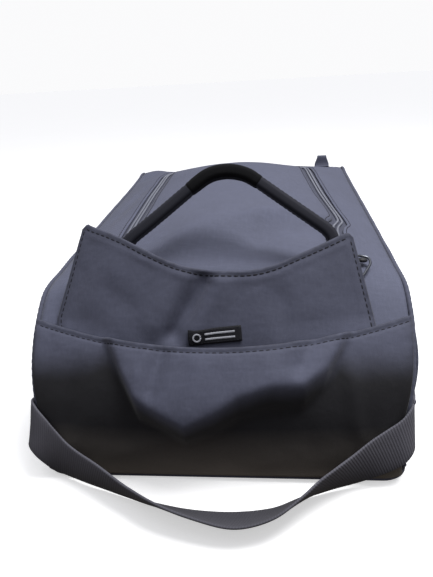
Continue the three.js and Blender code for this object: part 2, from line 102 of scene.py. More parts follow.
def catmull(points, each):
    """A centripetal Catmull-Rom curve through points, with so many samples to each stretch."""
    points = np.asarray(points, float)
    padded = np.vstack([2 * points[0] - points[1], points, 2 * points[-1] - points[-2]])
    t = np.linspace(0, 1, each, endpoint=False)[:, None]
    rows = []
    for a, b, c, d in zip(padded, padded[1:], padded[2:], padded[3:]):
        before, here, after = (max(np.linalg.norm(q - p), 1e-6) ** 0.5 for p, q in ((a, b), (b, c), (c, d)))
        leave = ((b - a) / before - (c - a) / (before + here) + (c - b) / here) * here
        arrive = ((c - b) / here - (d - b) / (here + after) + (d - c) / after) * here
        rows.append(b + leave * t + (3 * (c - b) - 2 * leave - arrive) * t**2
                    + (2 * (b - c) + leave + arrive) * t**3)
    return np.vstack([*rows, points[-1:]])


def lengths(points):
    """Distance along a polyline at each of its points."""
    return np.concatenate([[0.0], np.cumsum(np.linalg.norm(np.diff(points, axis=0), axis=1))])


def interpolated(points, run, at):
    """Points of a polyline at distances along it."""
    return np.stack([np.interp(at, run, column) for column in np.transpose(points)], -1)


def resample(points, count):
    """So many points, evenly spaced along a polyline."""
    run = lengths(points)
    return interpolated(points, run, np.linspace(0, run[-1], count))


PATH = catmull(SEAM[:, :2], 80)
SWELL = catmull(np.column_stack([SEAM[:, 2], 20 * np.arange(len(SEAM))]), 80)[:, 0]
RUN = lengths(PATH)
BAND_LENGTH = RUN[-1]
TANGENT = np.gradient(PATH, RUN, axis=0)
TANGENT /= np.linalg.norm(TANGENT, axis=1, keepdims=True)


def on_band(x, s, out=0.0):
    """Points on the band: x across it, s along it, out along its normal."""
    x, s, out = np.broadcast_arrays(np.asarray(x, float), np.asarray(s, float), np.asarray(out, float))
    y, z, ty, tz = (np.interp(s, RUN, v) for v in (PATH[:, 0], PATH[:, 1], TANGENT[:, 0], TANGENT[:, 1]))
    height = np.interp(s, RUN, SWELL) * (1 - (x / HALF_WIDTH) ** 2) + out
    return np.stack([x, y - tz * height, z + ty * height], -1)


def along(axis, value):
    """The distance along the band at which the seam first reaches a y or z."""
    column = PATH[: int(0.82 * len(PATH)), "yz".index(axis)]
    return RUN[int(np.argmax(column >= value))]


ZIP_START, FOLD, ZIP_END, FAR_SEAM = (along("y", y) for y in (57, 121, 342, 357))
SHOULDER = along("y", 78)


def smooth(low, high, value):
    t = np.clip((value - low) / (high - low), 0, 1)
    return t * t * (3 - 2 * t)


def bump(value, middle, width):
    return np.exp(-(((value - middle) / width) ** 2))


def ripple(u, v, size, seed):
    """Even, repeatable noise in -1..1 over two coordinates in mm."""
    flat = np.stack(np.broadcast_arrays(u, v), -1).reshape(-1, 2) / size
    values = [noise.noise((a, b, seed)) for a, b in flat]
    return np.array(values).reshape(np.broadcast(u, v).shape)


def crease(u, v, start, end, width, depth, fade=0.25):
    """A valley (depth below 0) or ridge along a line from start to end, dying away towards both ends."""
    start, end = np.array(start, float), np.array(end, float)
    run = end - start
    size = np.hypot(*run)
    du, dv = u - start[0], v - start[1]
    t = (du * run[0] + dv * run[1]) / size**2
    off = (du * run[1] - dv * run[0]) / size
    ends = smooth(-fade, fade, t) * (1 - smooth(1 - fade, 1 + fade, t))
    return depth * ends * np.exp(-((off / width) ** 2))


def creases(u, v, rows):
    return sum(crease(u, v, *row) for row in rows)


FOOT_RADIUS = 16
BACK_FOOT_Y = 368
EAR = (14 - HALF_WIDTH, 366.0, 119.0)


def settled(points):
    """How the loaded bag settles: rounded foot corners, ends drawn in by the strap, one corner poking up."""
    points = np.array(points, float)
    x, y, z = points[..., 0], points[..., 1], points[..., 2]
    middle = (FOOT_Y + BACK_FOOT_Y) / 2
    side = np.abs(x) - (HALF_WIDTH - FOOT_RADIUS)
    end = np.abs(y - middle) - (BACK_FOOT_Y - FOOT_Y) / 2 + FOOT_RADIUS
    in_corner = (side > 0) & (end > 0)
    reach = np.maximum(np.hypot(side, end), 1e-6)
    share = np.where(in_corner, (1 - np.maximum(side, end) / reach) * np.exp(-((z / 44) ** 2)), 0)
    x = x - np.sign(x) * side * share
    y = y - np.sign(y - middle) * end * share
    drawn = np.where(x < 0, 0.03, 0.046)
    x = x * (1 - drawn * bump(z, 34, 30) * (0.3 + 0.7 * np.exp(-((y / 70) ** 2))))
    away = (x - EAR[0]) ** 2 + (y - EAR[1]) ** 2 + (z - EAR[2]) ** 2
    return np.stack([x, y, z + 4.5 * np.exp(-away / 17**2)], -1)


BROW = FOLD - 19  # where the top's middle rolls over to the front
TOP_CREASES = (
    ((-98, FOLD + 40), (-84, FOLD + 150), 6, -1.6), ((96, FOLD - 20), (88, FOLD + 80), 6, -1.5),
    ((40, FOLD + 6), (64, FOLD + 52), 7, -1.3), ((-52, FOLD + 4), (-58, FOLD + 60), 7, -1.1),
)


def relief(x, s):
    """How far the top and ends stand off the band's plain surface."""
    middle = np.clip(1 - (x / 78) ** 2, 0, 1)
    loose = smooth(0, 26, np.minimum(HALF_WIDTH - np.abs(x), 40))
    rise = 1.5 * ripple(x, s, 62, 3.1) * loose + 0.55 * ripple(x, s, 21, 8.4) * (0.35 + 0.65 * loose)
    rise += creases(x, s, TOP_CREASES) - middle**0.6 * 2.6 * bump(s, SHOULDER + 4, 17)
    past = s - BROW - 0.55 * np.clip(x, -45, 45)  # the brow lies askew, further back on the right
    rise += middle**0.4 * 3.2 * np.exp(-np.sqrt(past**2 + 3) / np.where(past < 0, 13, 34))
    left = (1 - smooth(-30, 28, x)) * smooth(-60, -26, x)
    right = smooth(6, 28, x) * (1 - smooth(64, 80, x))
    rise += 3.8 * left * bump(past, 0, np.where(past < 0, 14, 22))
    rise += right * (3.0 * bump(past, 3, np.where(past < 3, 9, 28)) - 4.2 * bump(past, -21, 13))
    return rise - 1.6 * bump(x, -45, 26) * bump(s, FAR_SEAM, 14)


def on_cloth(x, s, out=0.0):
    x, s = np.broadcast_arrays(np.asarray(x, float), np.asarray(s, float))
    return settled(on_band(x, s, out + relief(x, s)))


# ---- Meshes ----
def add_values(mesh, name, values):
    """A number for each vertex."""
    mesh.attributes.new(name, "FLOAT", "POINT").data.foreach_set("value", np.asarray(values, np.float32))


def new_object(name, vertices, faces, uv=None):
    """A mesh object from layout points. uv is metres for each vertex."""
    mesh = bpy.data.meshes.new(name)
    mesh.from_pydata(metres(vertices).tolist(), [], faces)
    mesh.validate()
    if uv is not None:
        layer = mesh.uv_layers.new(name="UVMap")
        corners = np.empty(len(mesh.loops), int)
        mesh.loops.foreach_get("vertex_index", corners)
        layer.data.foreach_set("uv", np.asarray(uv, float)[corners].ravel())
    mesh.polygons.foreach_set("use_smooth", np.ones(len(mesh.polygons), bool))
    obj = bpy.data.objects.new(name, mesh)
    bpy.context.collection.objects.link(obj)
    outward(obj)
    return obj


def outward(obj):
    """Turns a closed mesh's faces outwards."""
    shape = bmesh.new()
    shape.from_mesh(obj.data)
    bmesh.ops.recalc_face_normals(shape, faces=shape.faces)
    shape.to_mesh(obj.data)
    shape.free()


def unit(vectors):
    return vectors / np.maximum(np.linalg.norm(vectors, axis=-1, keepdims=True), 1e-9)


def less_along(vectors, direction):
    """Unit vectors with the part along a unit direction taken out."""
    return unit(vectors - direction * np.sum(vectors * direction, -1, keepdims=True))


INSIDE = (0.0, 190.0, 60.0)


def normals_of(grid, away_from=INSIDE):
    """Unit normals of a grid of points, facing away from a place."""
    found = unit(np.cross(np.gradient(grid, axis=0), np.gradient(grid, axis=1)))
    if np.mean(np.sum(found * (grid - np.array(away_from)), -1)) < 0:
        found = -found
    return found


def grid_faces(rows, columns, base=0, ring=False):
    """The quads of a grid of vertices, or of a stack of closed rings."""
    faces = []
    for i in range(rows - 1):
        for j in range(columns if ring else columns - 1):
            k = (j + 1) % columns
            faces.append((base + i * columns + j, base + i * columns + k,
                          base + (i + 1) * columns + k, base + (i + 1) * columns + j))
    return faces


def slab(name, grid, thickness, away_from=INSIDE, hem=0.0, hem_width=7.0, painted_shade=None):
    """A sheet of cloth: a grid of points for its outer face, with thickness below it and rounded edges."""
    rows, columns = grid.shape[:2]
    normals = normals_of(grid, away_from)
    down = np.array([lengths(grid[:, j]) for j in range(columns)]).T
    across = np.array([lengths(grid[i]) for i in range(rows)])
    edge = np.minimum(np.minimum(down, down[-1] - down), np.minimum(across, across[:, -1:] - across))
    lift = hem * (1 - smooth(hem_width - 2, hem_width + 2, edge))[..., None]
    outer = grid + normals * lift
    inner = grid - normals * thickness
    border = [(0, j) for j in range(columns)] + [(i, columns - 1) for i in range(1, rows)]
    border += [(rows - 1, j) for j in range(columns - 2, -1, -1)] + [(i, 0) for i in range(rows - 2, 0, -1)]
    inwards = [(min(max(i, 1), rows - 2), min(max(j, 1), columns - 2)) for i, j in border]
    out = unit(np.array([grid[a] - grid[b] for a, b in zip(border, inwards)]))
    rim = np.array([(outer[a] + inner[a]) / 2 for a in border]) + out * 0.4 * (thickness + hem)
    count = rows * columns
    faces = grid_faces(rows, columns) + grid_faces(rows, columns, count)
    flat = [i * columns + j for i, j in border]
    for k, a in enumerate(flat):
        b = flat[(k + 1) % len(flat)]
        m, n = 2 * count + k, 2 * count + (k + 1) % len(flat)
        faces += [(a, b, n, m), (m, n, count + b, count + a)]
    uv = np.stack([across - across[:, -1:] / 2, down], -1).reshape(-1, 2) * MM
    vertices = np.vstack([outer.reshape(-1, 3), inner.reshape(-1, 3), rim])
    made = new_object(name, vertices, faces, np.vstack([uv, uv, uv[flat]]))
    # Painted shade: every sheet's edges and rims are darkened, so that they don't catch light.
    edge_shade = np.exp(-edge / 2.5).ravel()
    add_values(made.data, "edge_shade", np.concatenate([edge_shade, edge_shade * 0, np.ones(len(rim))]))
    # Painted shade for the material, where a mask is given.
    if painted_shade is not None:
        painted_shade = painted_shade.ravel()
        add_values(made.data, "painted_shade", np.concatenate([painted_shade, painted_shade, painted_shade[flat]]))
    return made


def tube(name, centres, sections, turn, closed=False):
    """A solid through rings of points. turn is the places of a ring's points round it, in metres."""
    rings, count = sections.shape[:2]
    faces = grid_faces(rings, count, ring=True)
    vertices = [sections.reshape(-1, 3)]
    run = lengths(centres) * MM
    uv = [np.stack(np.meshgrid(turn, run), -1).reshape(-1, 2)]
    if closed:
        last = (rings - 1) * count
        faces += [(last + j, last + (j + 1) % count, (j + 1) % count, j) for j in range(count)]
    else:
        for ring in (0, rings - 1):
            middle = sum(len(v) for v in vertices)
            vertices.append(centres[ring][None])
            uv.append(np.array([[0.5, run[ring]]]))
            faces += [(ring * count + j, ring * count + (j + 1) % count, middle) for j in range(count)]
    return new_object(name, np.vstack(vertices), faces, np.vstack(uv))


def across_and_up(centres, side):
    """Directions at each point of a path: across it, as near as can be to side, and up from that."""
    tangent = unit(np.gradient(centres, axis=0))
    across = less_along(np.broadcast_to(np.asarray(side, float), centres.shape), tangent)
    return across, np.cross(across, tangent)


def carried(centres, side, outline):
    """An outline carried along a path, its first coordinate across and its second up."""
    across, up = across_and_up(centres, side)
    return centres[:, None] + outline[..., :1] * across[:, None] + outline[..., 1:] * up[:, None]


def angles(sides):
    return np.linspace(0, 2 * math.pi, sides, endpoint=False)


def circle(sides):
    return np.stack([np.cos(angles(sides)), np.sin(angles(sides))], -1)


def rounded_bar(width, height, radius, each=4):
    """The outline of a bar with rounded corners."""
    points = []
    for quarter, (sx, sy) in enumerate(((1, 1), (-1, 1), (-1, -1), (1, -1))):
        for k in range(each + 1):
            angle = math.pi / 2 * (quarter + k / each)
            points.append((sx * (width / 2 - radius) + radius * math.cos(angle),
                           sy * (height / 2 - radius) + radius * math.sin(angle)))
    return np.array(points)


def swept(name, centres, side, outline, scale=((1, 1),)):
    """A bar carried along a path. scale is each ring's size, across and up."""
    sections = carried(centres, side, outline * np.asarray(scale, float)[:, None])
    return tube(name, centres, sections, outline[:, 0] * MM)


def welded(name, grids, thickness):
    """Several grids of one cloth, joined where their edges meet, with thickness below."""
    vertices, faces, uv = [], [], []
    for grid in grids:
        rows, columns = grid.shape[:2]
        faces += grid_faces(rows, columns, sum(len(v) for v in vertices))
        vertices.append(grid.reshape(-1, 3))
        uv.append(grid.reshape(-1, 3)[:, :2] * MM)
    obj = new_object(name, np.vstack(vertices), faces, np.vstack(uv))
    shape = bmesh.new()
    shape.from_mesh(obj.data)
    bmesh.ops.remove_doubles(shape, verts=shape.verts, dist=0.2 * MM)
    bmesh.ops.recalc_face_normals(shape, faces=shape.faces)
    middle = Vector(metres(INSIDE))
    if sum(f.normal.dot(f.calc_center_median() - middle) for f in shape.faces) < 0:
        bmesh.ops.reverse_faces(shape, faces=shape.faces)
    shape.to_mesh(obj.data)
    shape.free()
    solid = obj.modifiers.new("thickness", "SOLIDIFY")
    solid.thickness = thickness * MM
    solid.offset = -1
    baked = bpy.data.meshes.new_from_object(obj.evaluated_get(bpy.context.evaluated_depsgraph_get()))
    obj.modifiers.clear()
    obj.data = baked
    return obj


def strewn(name, shape, faces, places, turns):
    """One small closed shape repeated: places is n x 3, turns is n x 3 x 3 with the shape's axes as rows."""
    vertices = np.einsum("vk,nkj->nvj", shape, turns) + places[:, None]
    count = len(shape)
    every = [tuple(i + n * count for i in face) for n in range(len(places)) for face in faces]
    return new_object(name, vertices.reshape(-1, 3), every)


def capsule(length, width, height, sides=6):
    """A small lozenge along its first axis, as points and faces."""
    waist = circle(sides) * (width / 2, height / 2)
    rings = ((-0.42, 0.62), (-0.2, 1.0), (0.2, 1.0), (0.42, 0.62))
    middle = [np.column_stack([np.full(sides, place * length), waist * size]) for place, size in rings]
    tip = np.array([[length / 2, 0, 0]])
    last = len(rings) * sides + 1
    faces = grid_faces(len(rings), sides, 1, ring=True)
    for k in range(sides):
        after = (k + 1) % sides
        faces += [(0, 1 + k, 1 + after), (last, last - sides + after, last - sides + k)]
    return np.vstack([-tip, *middle, tip]), faces


STITCH = 3.7  # from one stitch to the next
SEWN_WIDTH = 1.1  # of the thick stitches round the flap and along the hem
FORWARD = (0, -1, 0)


def stitched(name, lines, body=None, pitch=STITCH, width=0.75, height=0.5, look=None):
    """Rows of stitches. Each line is points and the cloth's normals at them."""
    places, turns = [], []
    for points, normals in lines:
        run = lengths(points)
        at = np.arange(pitch / 2, run[-1], pitch)
        forward = unit(interpolated(points, run, at + 0.4) - interpolated(points, run, at - 0.4))
        normal = less_along(unit(interpolated(normals, run, at)), forward)
        places.append(interpolated(points, run, at) - normal * 0.08)
        turns.append(np.stack([forward, np.cross(normal, forward), normal], 1))
    sewn = strewn(name, *capsule(pitch * 0.8, width, height), np.vstack(places), np.vstack(turns))
    return dress(sewn, look or THREAD_LOOK, body)


def surface_line(surface, u, v, facing=None, du=0.5, dv=0.5, **more):
    """Points of a surface function along places u, v, and its normals there."""
    u, v = np.broadcast_arrays(np.asarray(u, float), np.asarray(v, float))
    along_u = surface(u + du, v, **more) - surface(u - du, v, **more)
    along_v = surface(u, v + dv, **more) - surface(u, v - dv, **more)
    normals = unit(np.cross(along_u, along_v))
    if facing:
        normals = np.where(normals @ np.array(facing, float)[:, None] < 0, -normals, normals)
    return surface(u, v, **more), normals


# ---- Materials ----
class Graph:
    """The nodes of a material or a world, built a node at a time."""

    def __init__(self, owner, shader="Principled BSDF"):
        owner.use_nodes = True
        self.owner = owner
        self.nodes = owner.node_tree.nodes
        self.links = owner.node_tree.links
        self.shader = self.nodes[shader]
        self.place = self.node("TexCoord").outputs["Object"]

    def put(self, socket, value):
        if isinstance(value, bpy.types.NodeSocket):
            self.links.new(value, socket)
        else:
            socket.default_value = value

    def paint(self, **sockets):
        """Values or links for the shader's own sockets, with _ for a space in their names."""
        for key, value in sockets.items():
            self.put(self.shader.inputs[key.replace("_", " ")], value)

    def node(self, kind, inputs=(), **settings):
        made = self.nodes.new("ShaderNode" + kind)
        for key, value in settings.items():
            setattr(made, key, value)
        for key, value in dict(inputs).items():
            self.put(made.inputs[key], value)
        return made

    def math(self, operation, a, b=0.0):
        return self.node("Math", {0: a, 1: b}, operation=operation).outputs[0]

    def noise(self, scale, detail=2.0, vector=None):
        inputs = {"Vector": vector or self.place, "Scale": scale, "Detail": detail}
        return self.node("TexNoise", inputs).outputs[0]

    def ranged(self, value, low, high, top=1.0):
        """A value stretched from low..high to 0..top, and kept there."""
        inputs = {"Value": value, "From Min": low, "From Max": high, "To Max": top}
        return self.node("MapRange", inputs).outputs[0]

    def varied(self, amount, base, around):
        """A noise's share of an amount, with its usual middle brought to a base."""
        return self.math("ADD", self.math("MULTIPLY", around, amount), base - amount / 2)

    def named(self, attribute):
        return self.node("Attribute", attribute_name=attribute).outputs["Fac"]

    def split(self, vector):
        return self.node("SeparateXYZ", {0: vector}).outputs

    def mix(self, factor, a, b):
        made = self.node("Mix", {"Factor": factor}, data_type="RGBA")
        for k, value in ((6, a), (7, b)):
            self.put(made.inputs[k], (*value, 1) if isinstance(value, tuple) else value)
        return made.outputs[2]

    def wave(self, coordinate, pitch):
        """A sine of a coordinate in metres, with a pitch in mm."""
        turns = self.math("MULTIPLY", coordinate, 2 * math.pi / (pitch * MM))
        return self.math("MULTIPLY_ADD", self.math("SINE", turns), 0.5)

    def bumped(self, *layers):
        """Bump from (height, strength, distance in mm) layers, on the shader's normal."""
        normal = None
        for height, strength, distance in layers:
            inputs = {"Height": height, "Strength": strength, "Distance": distance * MM}
            if normal:
                inputs["Normal"] = normal
            normal = self.node("Bump", inputs).outputs[0]
        self.paint(Normal=normal)


def tint(colour, amount):
    return tuple(min(1.0, c * amount) for c in colour)


# Painted shade, and painted warm light bounced up from the floor, for the pocket where it hangs in shade.
PAINTED_SHADE_COLOUR = (0.0085, 0.0078, 0.0088)
PAINTED_BOUNCE_COLOUR = (0.195, 0.168, 0.138)


def cloth(name, colour, weave=0.62, sheen=0.14, rough=0.72):
    """Plain-woven polyester: crossed yarns, a mottled colour, painted shade along its edges, and painted
    shade under the pocket's billow that turns to painted warm floor bounce near the bottom.
    """
    g = Graph(bpy.data.materials.new(name))
    parts = g.split(g.node("UVMap", uv_map="UVMap").outputs[0])
    crossed = g.math("ABSOLUTE", g.math("SUBTRACT", g.wave(parts[0], weave), g.wave(parts[1], weave)))
    blotch = g.noise(26, 3)
    tone = g.mix(blotch, tint(colour, 0.84), tint(colour, 1.16))
    tone = g.mix(g.math("MULTIPLY", g.noise(900, 1), 0.35), tone, tint(colour, 0.6))
    for stretch in ((700, 90, 300), (90, 700, 300)):
        slub = g.noise(1.0, 2, g.node("Mapping", {"Vector": g.place, "Scale": stretch}).outputs[0])
        tone = g.mix(g.ranged(slub, 0.45, 0.75, 0.2), tone, tint(colour, 1.5))
    tone = g.mix(g.math("MULTIPLY", crossed, 0.22), tone, tint(colour, 1.5))
    # Painted shade along edges and rims, broken up by noise.
    edge_darkening = g.math("MULTIPLY", g.math("MULTIPLY", g.named("edge_shade"), g.noise(240)), 1.3)
    tone = g.mix(edge_darkening, tone, tint(colour, 0.5))
    # Painted shade above 38 mm, turning to painted warm floor bounce, lighter and browner, towards the
    # bottom.
    shade_and_bounce = g.mix(g.ranged(g.split(g.place)[2], 0.038, 0.004, 0.8), PAINTED_SHADE_COLOUR, PAINTED_BOUNCE_COLOUR)
    g.paint(Base_Color=g.mix(g.math("MULTIPLY", g.named("painted_shade"), 0.95), tone, shade_and_bounce),
            Roughness=g.varied(0.16, rough, blotch), Sheen_Weight=sheen, Sheen_Roughness=0.45,
            Specular_IOR_Level=0.35)
    g.bumped((crossed, 0.35, 0.22), (g.noise(150, 3), 0.35, 0.9))
    return g.owner


def webbing(name, colour, rib=1.9, depth=0.5, rough=0.75):
    """Ribbed webbing: ribs across its length, finer yarns along it, and painted shade near the floor."""
    g = Graph(bpy.data.materials.new(name))
    parts = g.split(g.node("UVMap", uv_map="UVMap").outputs[0])
    run = g.math("ADD", parts[1], g.math("MULTIPLY", parts[0], 0.25))
    ribs, yarns = g.wave(run, rib), g.wave(parts[0], 0.85)
    blotch = g.noise(60, 3)
    tone = g.mix(blotch, tint(colour, 0.82), tint(colour, 1.18))
    tone = g.mix(g.math("MULTIPLY", ribs, 0.4), tone, tint(colour, 1.45))
    tone = g.mix(g.math("MULTIPLY", yarns, 0.18), tone, tint(colour, 0.6))
    # Painted shade: the colour darkens towards the floor, below 26 mm.
    low = g.ranged(g.split(g.place)[2], 0.026, 0.006, 0.7)
    g.paint(Base_Color=g.mix(low, tone, tint(colour, 0.3)), Roughness=g.varied(0.14, rough, blotch),
            Sheen_Weight=0.06, Sheen_Roughness=0.5, Specular_IOR_Level=0.3)
    g.bumped((ribs, 0.5, depth), (yarns, 0.3, 0.15), (g.noise(500), 0.25, 0.3))
    return g.owner


def hard(name, colour, metallic, rough, grain=700):
    """Metal or plastic with fine handling marks."""
    g = Graph(bpy.data.materials.new(name))
    marks = g.noise(grain, 3)
    g.paint(Base_Color=g.mix(marks, tint(colour, 0.85), tint(colour, 1.1)), Metallic=metallic,
            Roughness=g.varied(0.2, rough, marks))
    g.bumped((marks, 0.12, 0.08))
    return g.owner


CLOTH_LOOK = cloth("bag_cloth", (0.106, 0.114, 0.168))
# The bag's cloth made darker for the pocket, flap and base: painted shade on the front and underside.
SHADED_CLOTH_LOOK = cloth("cloth_painted_shade", (0.093, 0.099, 0.147))
WEBBING_LOOK = webbing("strap_webbing", (0.120, 0.118, 0.142), rib=1.6, depth=0.35)
HANDLE_LOOK = webbing("handle_webbing", (0.017, 0.0178, 0.027), rib=1.1, depth=0.1)
PIPING_LOOK = cloth("piping_cloth", (0.085, 0.090, 0.132), weave=0.5)
# Near-black grip: painted shade for the handle's shadowed top.
GRIP_SHADE_LOOK = cloth("grip_painted_shade", (0.0015, 0.0016, 0.0028), weave=1.0, sheen=0.02, rough=0.95)
TAPE_LOOK = webbing("zip_tape", (0.080, 0.084, 0.118), rib=0.9, depth=0.15)
THREAD_LOOK = webbing("thread", (0.012, 0.012, 0.019), rib=0.5, depth=0.1, rough=0.7)
COIL_LOOK = hard("zip_coil", (0.21, 0.22, 0.27), 0.0, 0.45)
METAL_LOOK = hard("dark_nickel", (0.20, 0.21, 0.24), 1.0, 0.36)
LABEL_LOOK = webbing("label_weave", (0.007, 0.007, 0.011), rib=0.45, depth=0.12, rough=0.6)
MARK_LOOK = webbing("label_thread", (0.55, 0.56, 0.62), rib=0.5, depth=0.12, rough=0.55)
BOARD_LOOK = hard("board", (0.02, 0.02, 0.024), 0.0, 0.6, grain=300)


def dress(obj, look, body=None, nodes=()):
    """Gives a piece its material, slot, body and the CAD nodes it stands for."""
    obj.data.materials.clear()
    obj.data.materials.append(look)
    if nodes:
        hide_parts(*nodes)
    if body:
        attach(obj, body)
    return obj


# ---- End strap, a slack flat cord ----
WEBBING = 26
STRAP_THICK = 1.5
STRAP_TOP = 48
STRAP_EDGES = np.array([  # lower and upper edge from the left seam to the right
    [(-112.6, 13, 22), (-112.3, 13, 48)],
    [(-115.4, 6, 23), (-112.0, 8.6, 48.8)],
    [(-115.2, 0.2, 21.6), (-108.2, 4.4, 46.4)],
    [(-110.6, -3.4, 17.4), (-102.4, 1.0, 41.6)],
    [(-105, -2.9, 10.1), (-96.6, -1.2, 34.6)],
    [(-101, -1.8, 5), (-90.4, -4, 28.5)],
    [(-94.9, -2.4, 2.8), (-83.2, -8, 25.2)],
    [(-78.3, -9.2, 2.5), (-65.3, -18.8, 22.9)],
    [(-58.2, -16.1, 1.6), (-47, -30.9, 19.8)],
    [(-38, -22.3, 1.5), (-32.4, -40.2, 19.5)],
    [(-14.5, -27.1, 1.5), (-10.5, -48, 16.4)],
    [(10.5, -28.4, 1.5), (12.3, -51.1, 13.9)],
    [(30.6, -24.8, 1.5), (31.2, -46.3, 16.1)],
    [(48.5, -15.7, 1.5), (47.1, -34.2, 19.7)],
    [(60, -11.2, 2.0), (56.3, -26, 23.2)],
    [(70.4, -7.8, 2.9), (65.9, -19, 25.9)],
    [(80.8, -5.1, 4.2), (75.7, -12, 28.8)],
    [(90.5, -4.6, 7.9), (85.8, -6, 33.5)],
    [(98.9, -4, 11.6), (95, -1.4, 37.2)],
    [(105.9, -2.8, 16), (103.2, 2, 41.4)],
    [(110.5, 1.4, 19.8), (108, 5.5, 45.2)],
    [(112.2, 7, 21.2), (110.4, 9.2, 47)],
    [(111.6, 13, 22), (110.9, 13, 48)],
], float)


def strap_outline():
    """The webbing's section, with extra points across it so that it can cup."""
    outline = rounded_bar(WEBBING, STRAP_THICK, 0.7, 3)
    half = np.linspace(-0.5, 0.5, 9)[1:-1] * (WEBBING - 1.6)
    top, bottom = (np.column_stack([xs, np.full(len(xs), y)])
                   for xs, y in ((half[::-1], STRAP_THICK / 2), (half, -STRAP_THICK / 2)))
    each = len(outline) // 4
    return np.vstack([outline[:each], top, outline[each:3 * each], bottom, outline[3 * each:]])


def make_strap():
    low, high = (catmull(STRAP_EDGES[:, k], 12) for k in (0, 1))
    run = lengths((low + high) / 2)
    at = np.linspace(0, 1, 150)
    low, high = (interpolated(line, run, at * run[-1]) for line in (low, high))
    centre = (low + high) / 2
    outline = strap_outline()
    across = unit(high - low)
    up = unit(np.cross(across, unit(np.gradient(centre, axis=0))))
    wave = 0.35 * ripple(at[:, None] * 240, outline[None, :, 0], 16, 5.5)
    cup = -0.9 * (1 - (2 * outline[None, :, 0] / WEBBING) ** 2) * np.sin(np.pi * at)[:, None]
    rings = (centre[:, None] + outline[None, :, :1] * across[:, None]
             + (outline[None, :, 1] + wave + cup)[..., None] * up[:, None])
    rings[..., 2] = np.maximum(rings[..., 2], 0.3)  # it rests on the floor
    strap = tube("end_strap_webbing", centre, rings, outline[:, 0] * MM)
    dress(strap, WEBBING_LOOK, "strap", ["end_strap"])


make_strap()

# ---- Top cloth, front end and back end ----
ZIP_LEFT = (-69, -72)
ZIP_RIGHT = (79, 70)
ZIP_CORNER = 26
ZIP_SLOT = 5.5
CORNER_START = ZIP_END - ZIP_CORNER
FLAT_LEFT = ZIP_LEFT[1] + ZIP_CORNER
FLAT_RIGHT = ZIP_RIGHT[1] - ZIP_CORNER
WANDER_AT = along("y", 143)  # where the right side of the zip bows outwards
LEG_STEPS = 110
CORNER_STEPS = 18
FLAT_STEPS = 44


def leg_x(side, s):
    front, far = ZIP_LEFT if side < 0 else ZIP_RIGHT
    t = (np.minimum(s, CORNER_START) - ZIP_START) / (CORNER_START - ZIP_START)
    wander = 0.0 if side < 0 else 8.0 * bump(s, WANDER_AT, np.where(s < WANDER_AT, 18, 50))
    return front + (far - front) * t + wander


def half_u(side, outside, start):
    leg = np.linspace(start, CORNER_START, LEG_STEPS)
    angle = np.linspace(0, math.pi / 2, CORNER_STEPS + 1)[1:]
    radius = ZIP_CORNER + outside
    flat = FLAT_LEFT if side < 0 else FLAT_RIGHT
    x = np.concatenate([leg_x(side, leg) + side * outside, flat + side * radius * np.cos(angle)])
    return np.stack([x, np.concatenate([leg, CORNER_START + radius * np.sin(angle)])], -1)


def around_u(outside, start):
    across = np.linspace(FLAT_LEFT, FLAT_RIGHT, FLAT_STEPS + 2)[1:-1]
    flat = np.stack([across, np.full_like(across, ZIP_END + outside)], -1)
    return np.vstack([half_u(-1, outside, start), flat, half_u(1, outside, start)[::-1]])


def around_top(start):
    """The zip's U pushed out to the seams round the top."""
    places = around_u(0, start)
    square = 0.22
    for i, (x, s) in enumerate(places):
        k = min(i, len(places) - 1 - i)
        side = -1 if i * 2 < len(places) else 1
        if k < LEG_STEPS:
            places[i] = (side * EDGE_X, s)
        elif k < LEG_STEPS + CORNER_STEPS:
            angle = (k - LEG_STEPS + 1) / CORNER_STEPS * math.pi / 2
            flat = FLAT_LEFT if side < 0 else FLAT_RIGHT
            reach = EDGE_X - abs(flat)
            places[i] = (flat + side * reach * max(math.cos(angle), 0) ** square,
                         CORNER_START + (FAR_SEAM - CORNER_START) * math.sin(angle) ** square)
        else:
            places[i] = (x, FAR_SEAM)
    return places


def rolled(distance):
    """A folded edge: the cloth dips over its last millimetre or two."""
    return -0.9 * np.exp(-distance / 1.1)


STRIP = np.concatenate([[0, 0.03, 0.07], np.linspace(0.14, 1, 13)])


def make_shell():
    inner, outer = around_u(ZIP_SLOT, ZIP_START), around_top(ZIP_START)
    places = inner[:, None] + (outer - inner)[:, None] * STRIP[None, :, None]
    from_slot = np.linalg.norm(places - inner[:, None], axis=-1)
    ring = on_cloth(places[..., 0], places[..., 1], rolled(from_slot))
    left, right = places[0, ::-1, 0], places[-1, :, 0]
    columns = np.concatenate([left, np.linspace(left[-1], right[0], 60)[1:-1], right])
    x, s = np.meshgrid(columns, np.linspace(0, ZIP_START, 46))
    slot = [leg_x(side, ZIP_START) + side * ZIP_SLOT for side in (-1, 1)]
    dip = rolled(np.minimum(*(np.abs(columns - edge) for edge in slot)))
    dip = np.where((columns > slot[0]) & (columns < slot[1]), 0, dip)
    front = on_cloth(x, s, dip[None] * smooth(ZIP_START - 5, ZIP_START, s))
    shell = welded("bag_shell", [ring, front], CLOTH)
    dress(shell, CLOTH_LOOK, "shell", ["top_surround", "front_end_panel"])

    x, s = np.meshgrid(np.linspace(-EDGE_X, EDGE_X, 70), np.linspace(FAR_SEAM + 0.3, BAND_LENGTH, 44))
    back = slab("back_end_cloth", on_cloth(x, s, rolled(s - FAR_SEAM)), CLOTH)
    dress(back, CLOTH_LOOK, "shell", ["back_end_panel"])


make_shell()

LID_START = ZIP_START + 0.4


def bend_lid(piece):
    """Bakes a piece's placement into its mesh."""
    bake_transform(piece)
    return piece


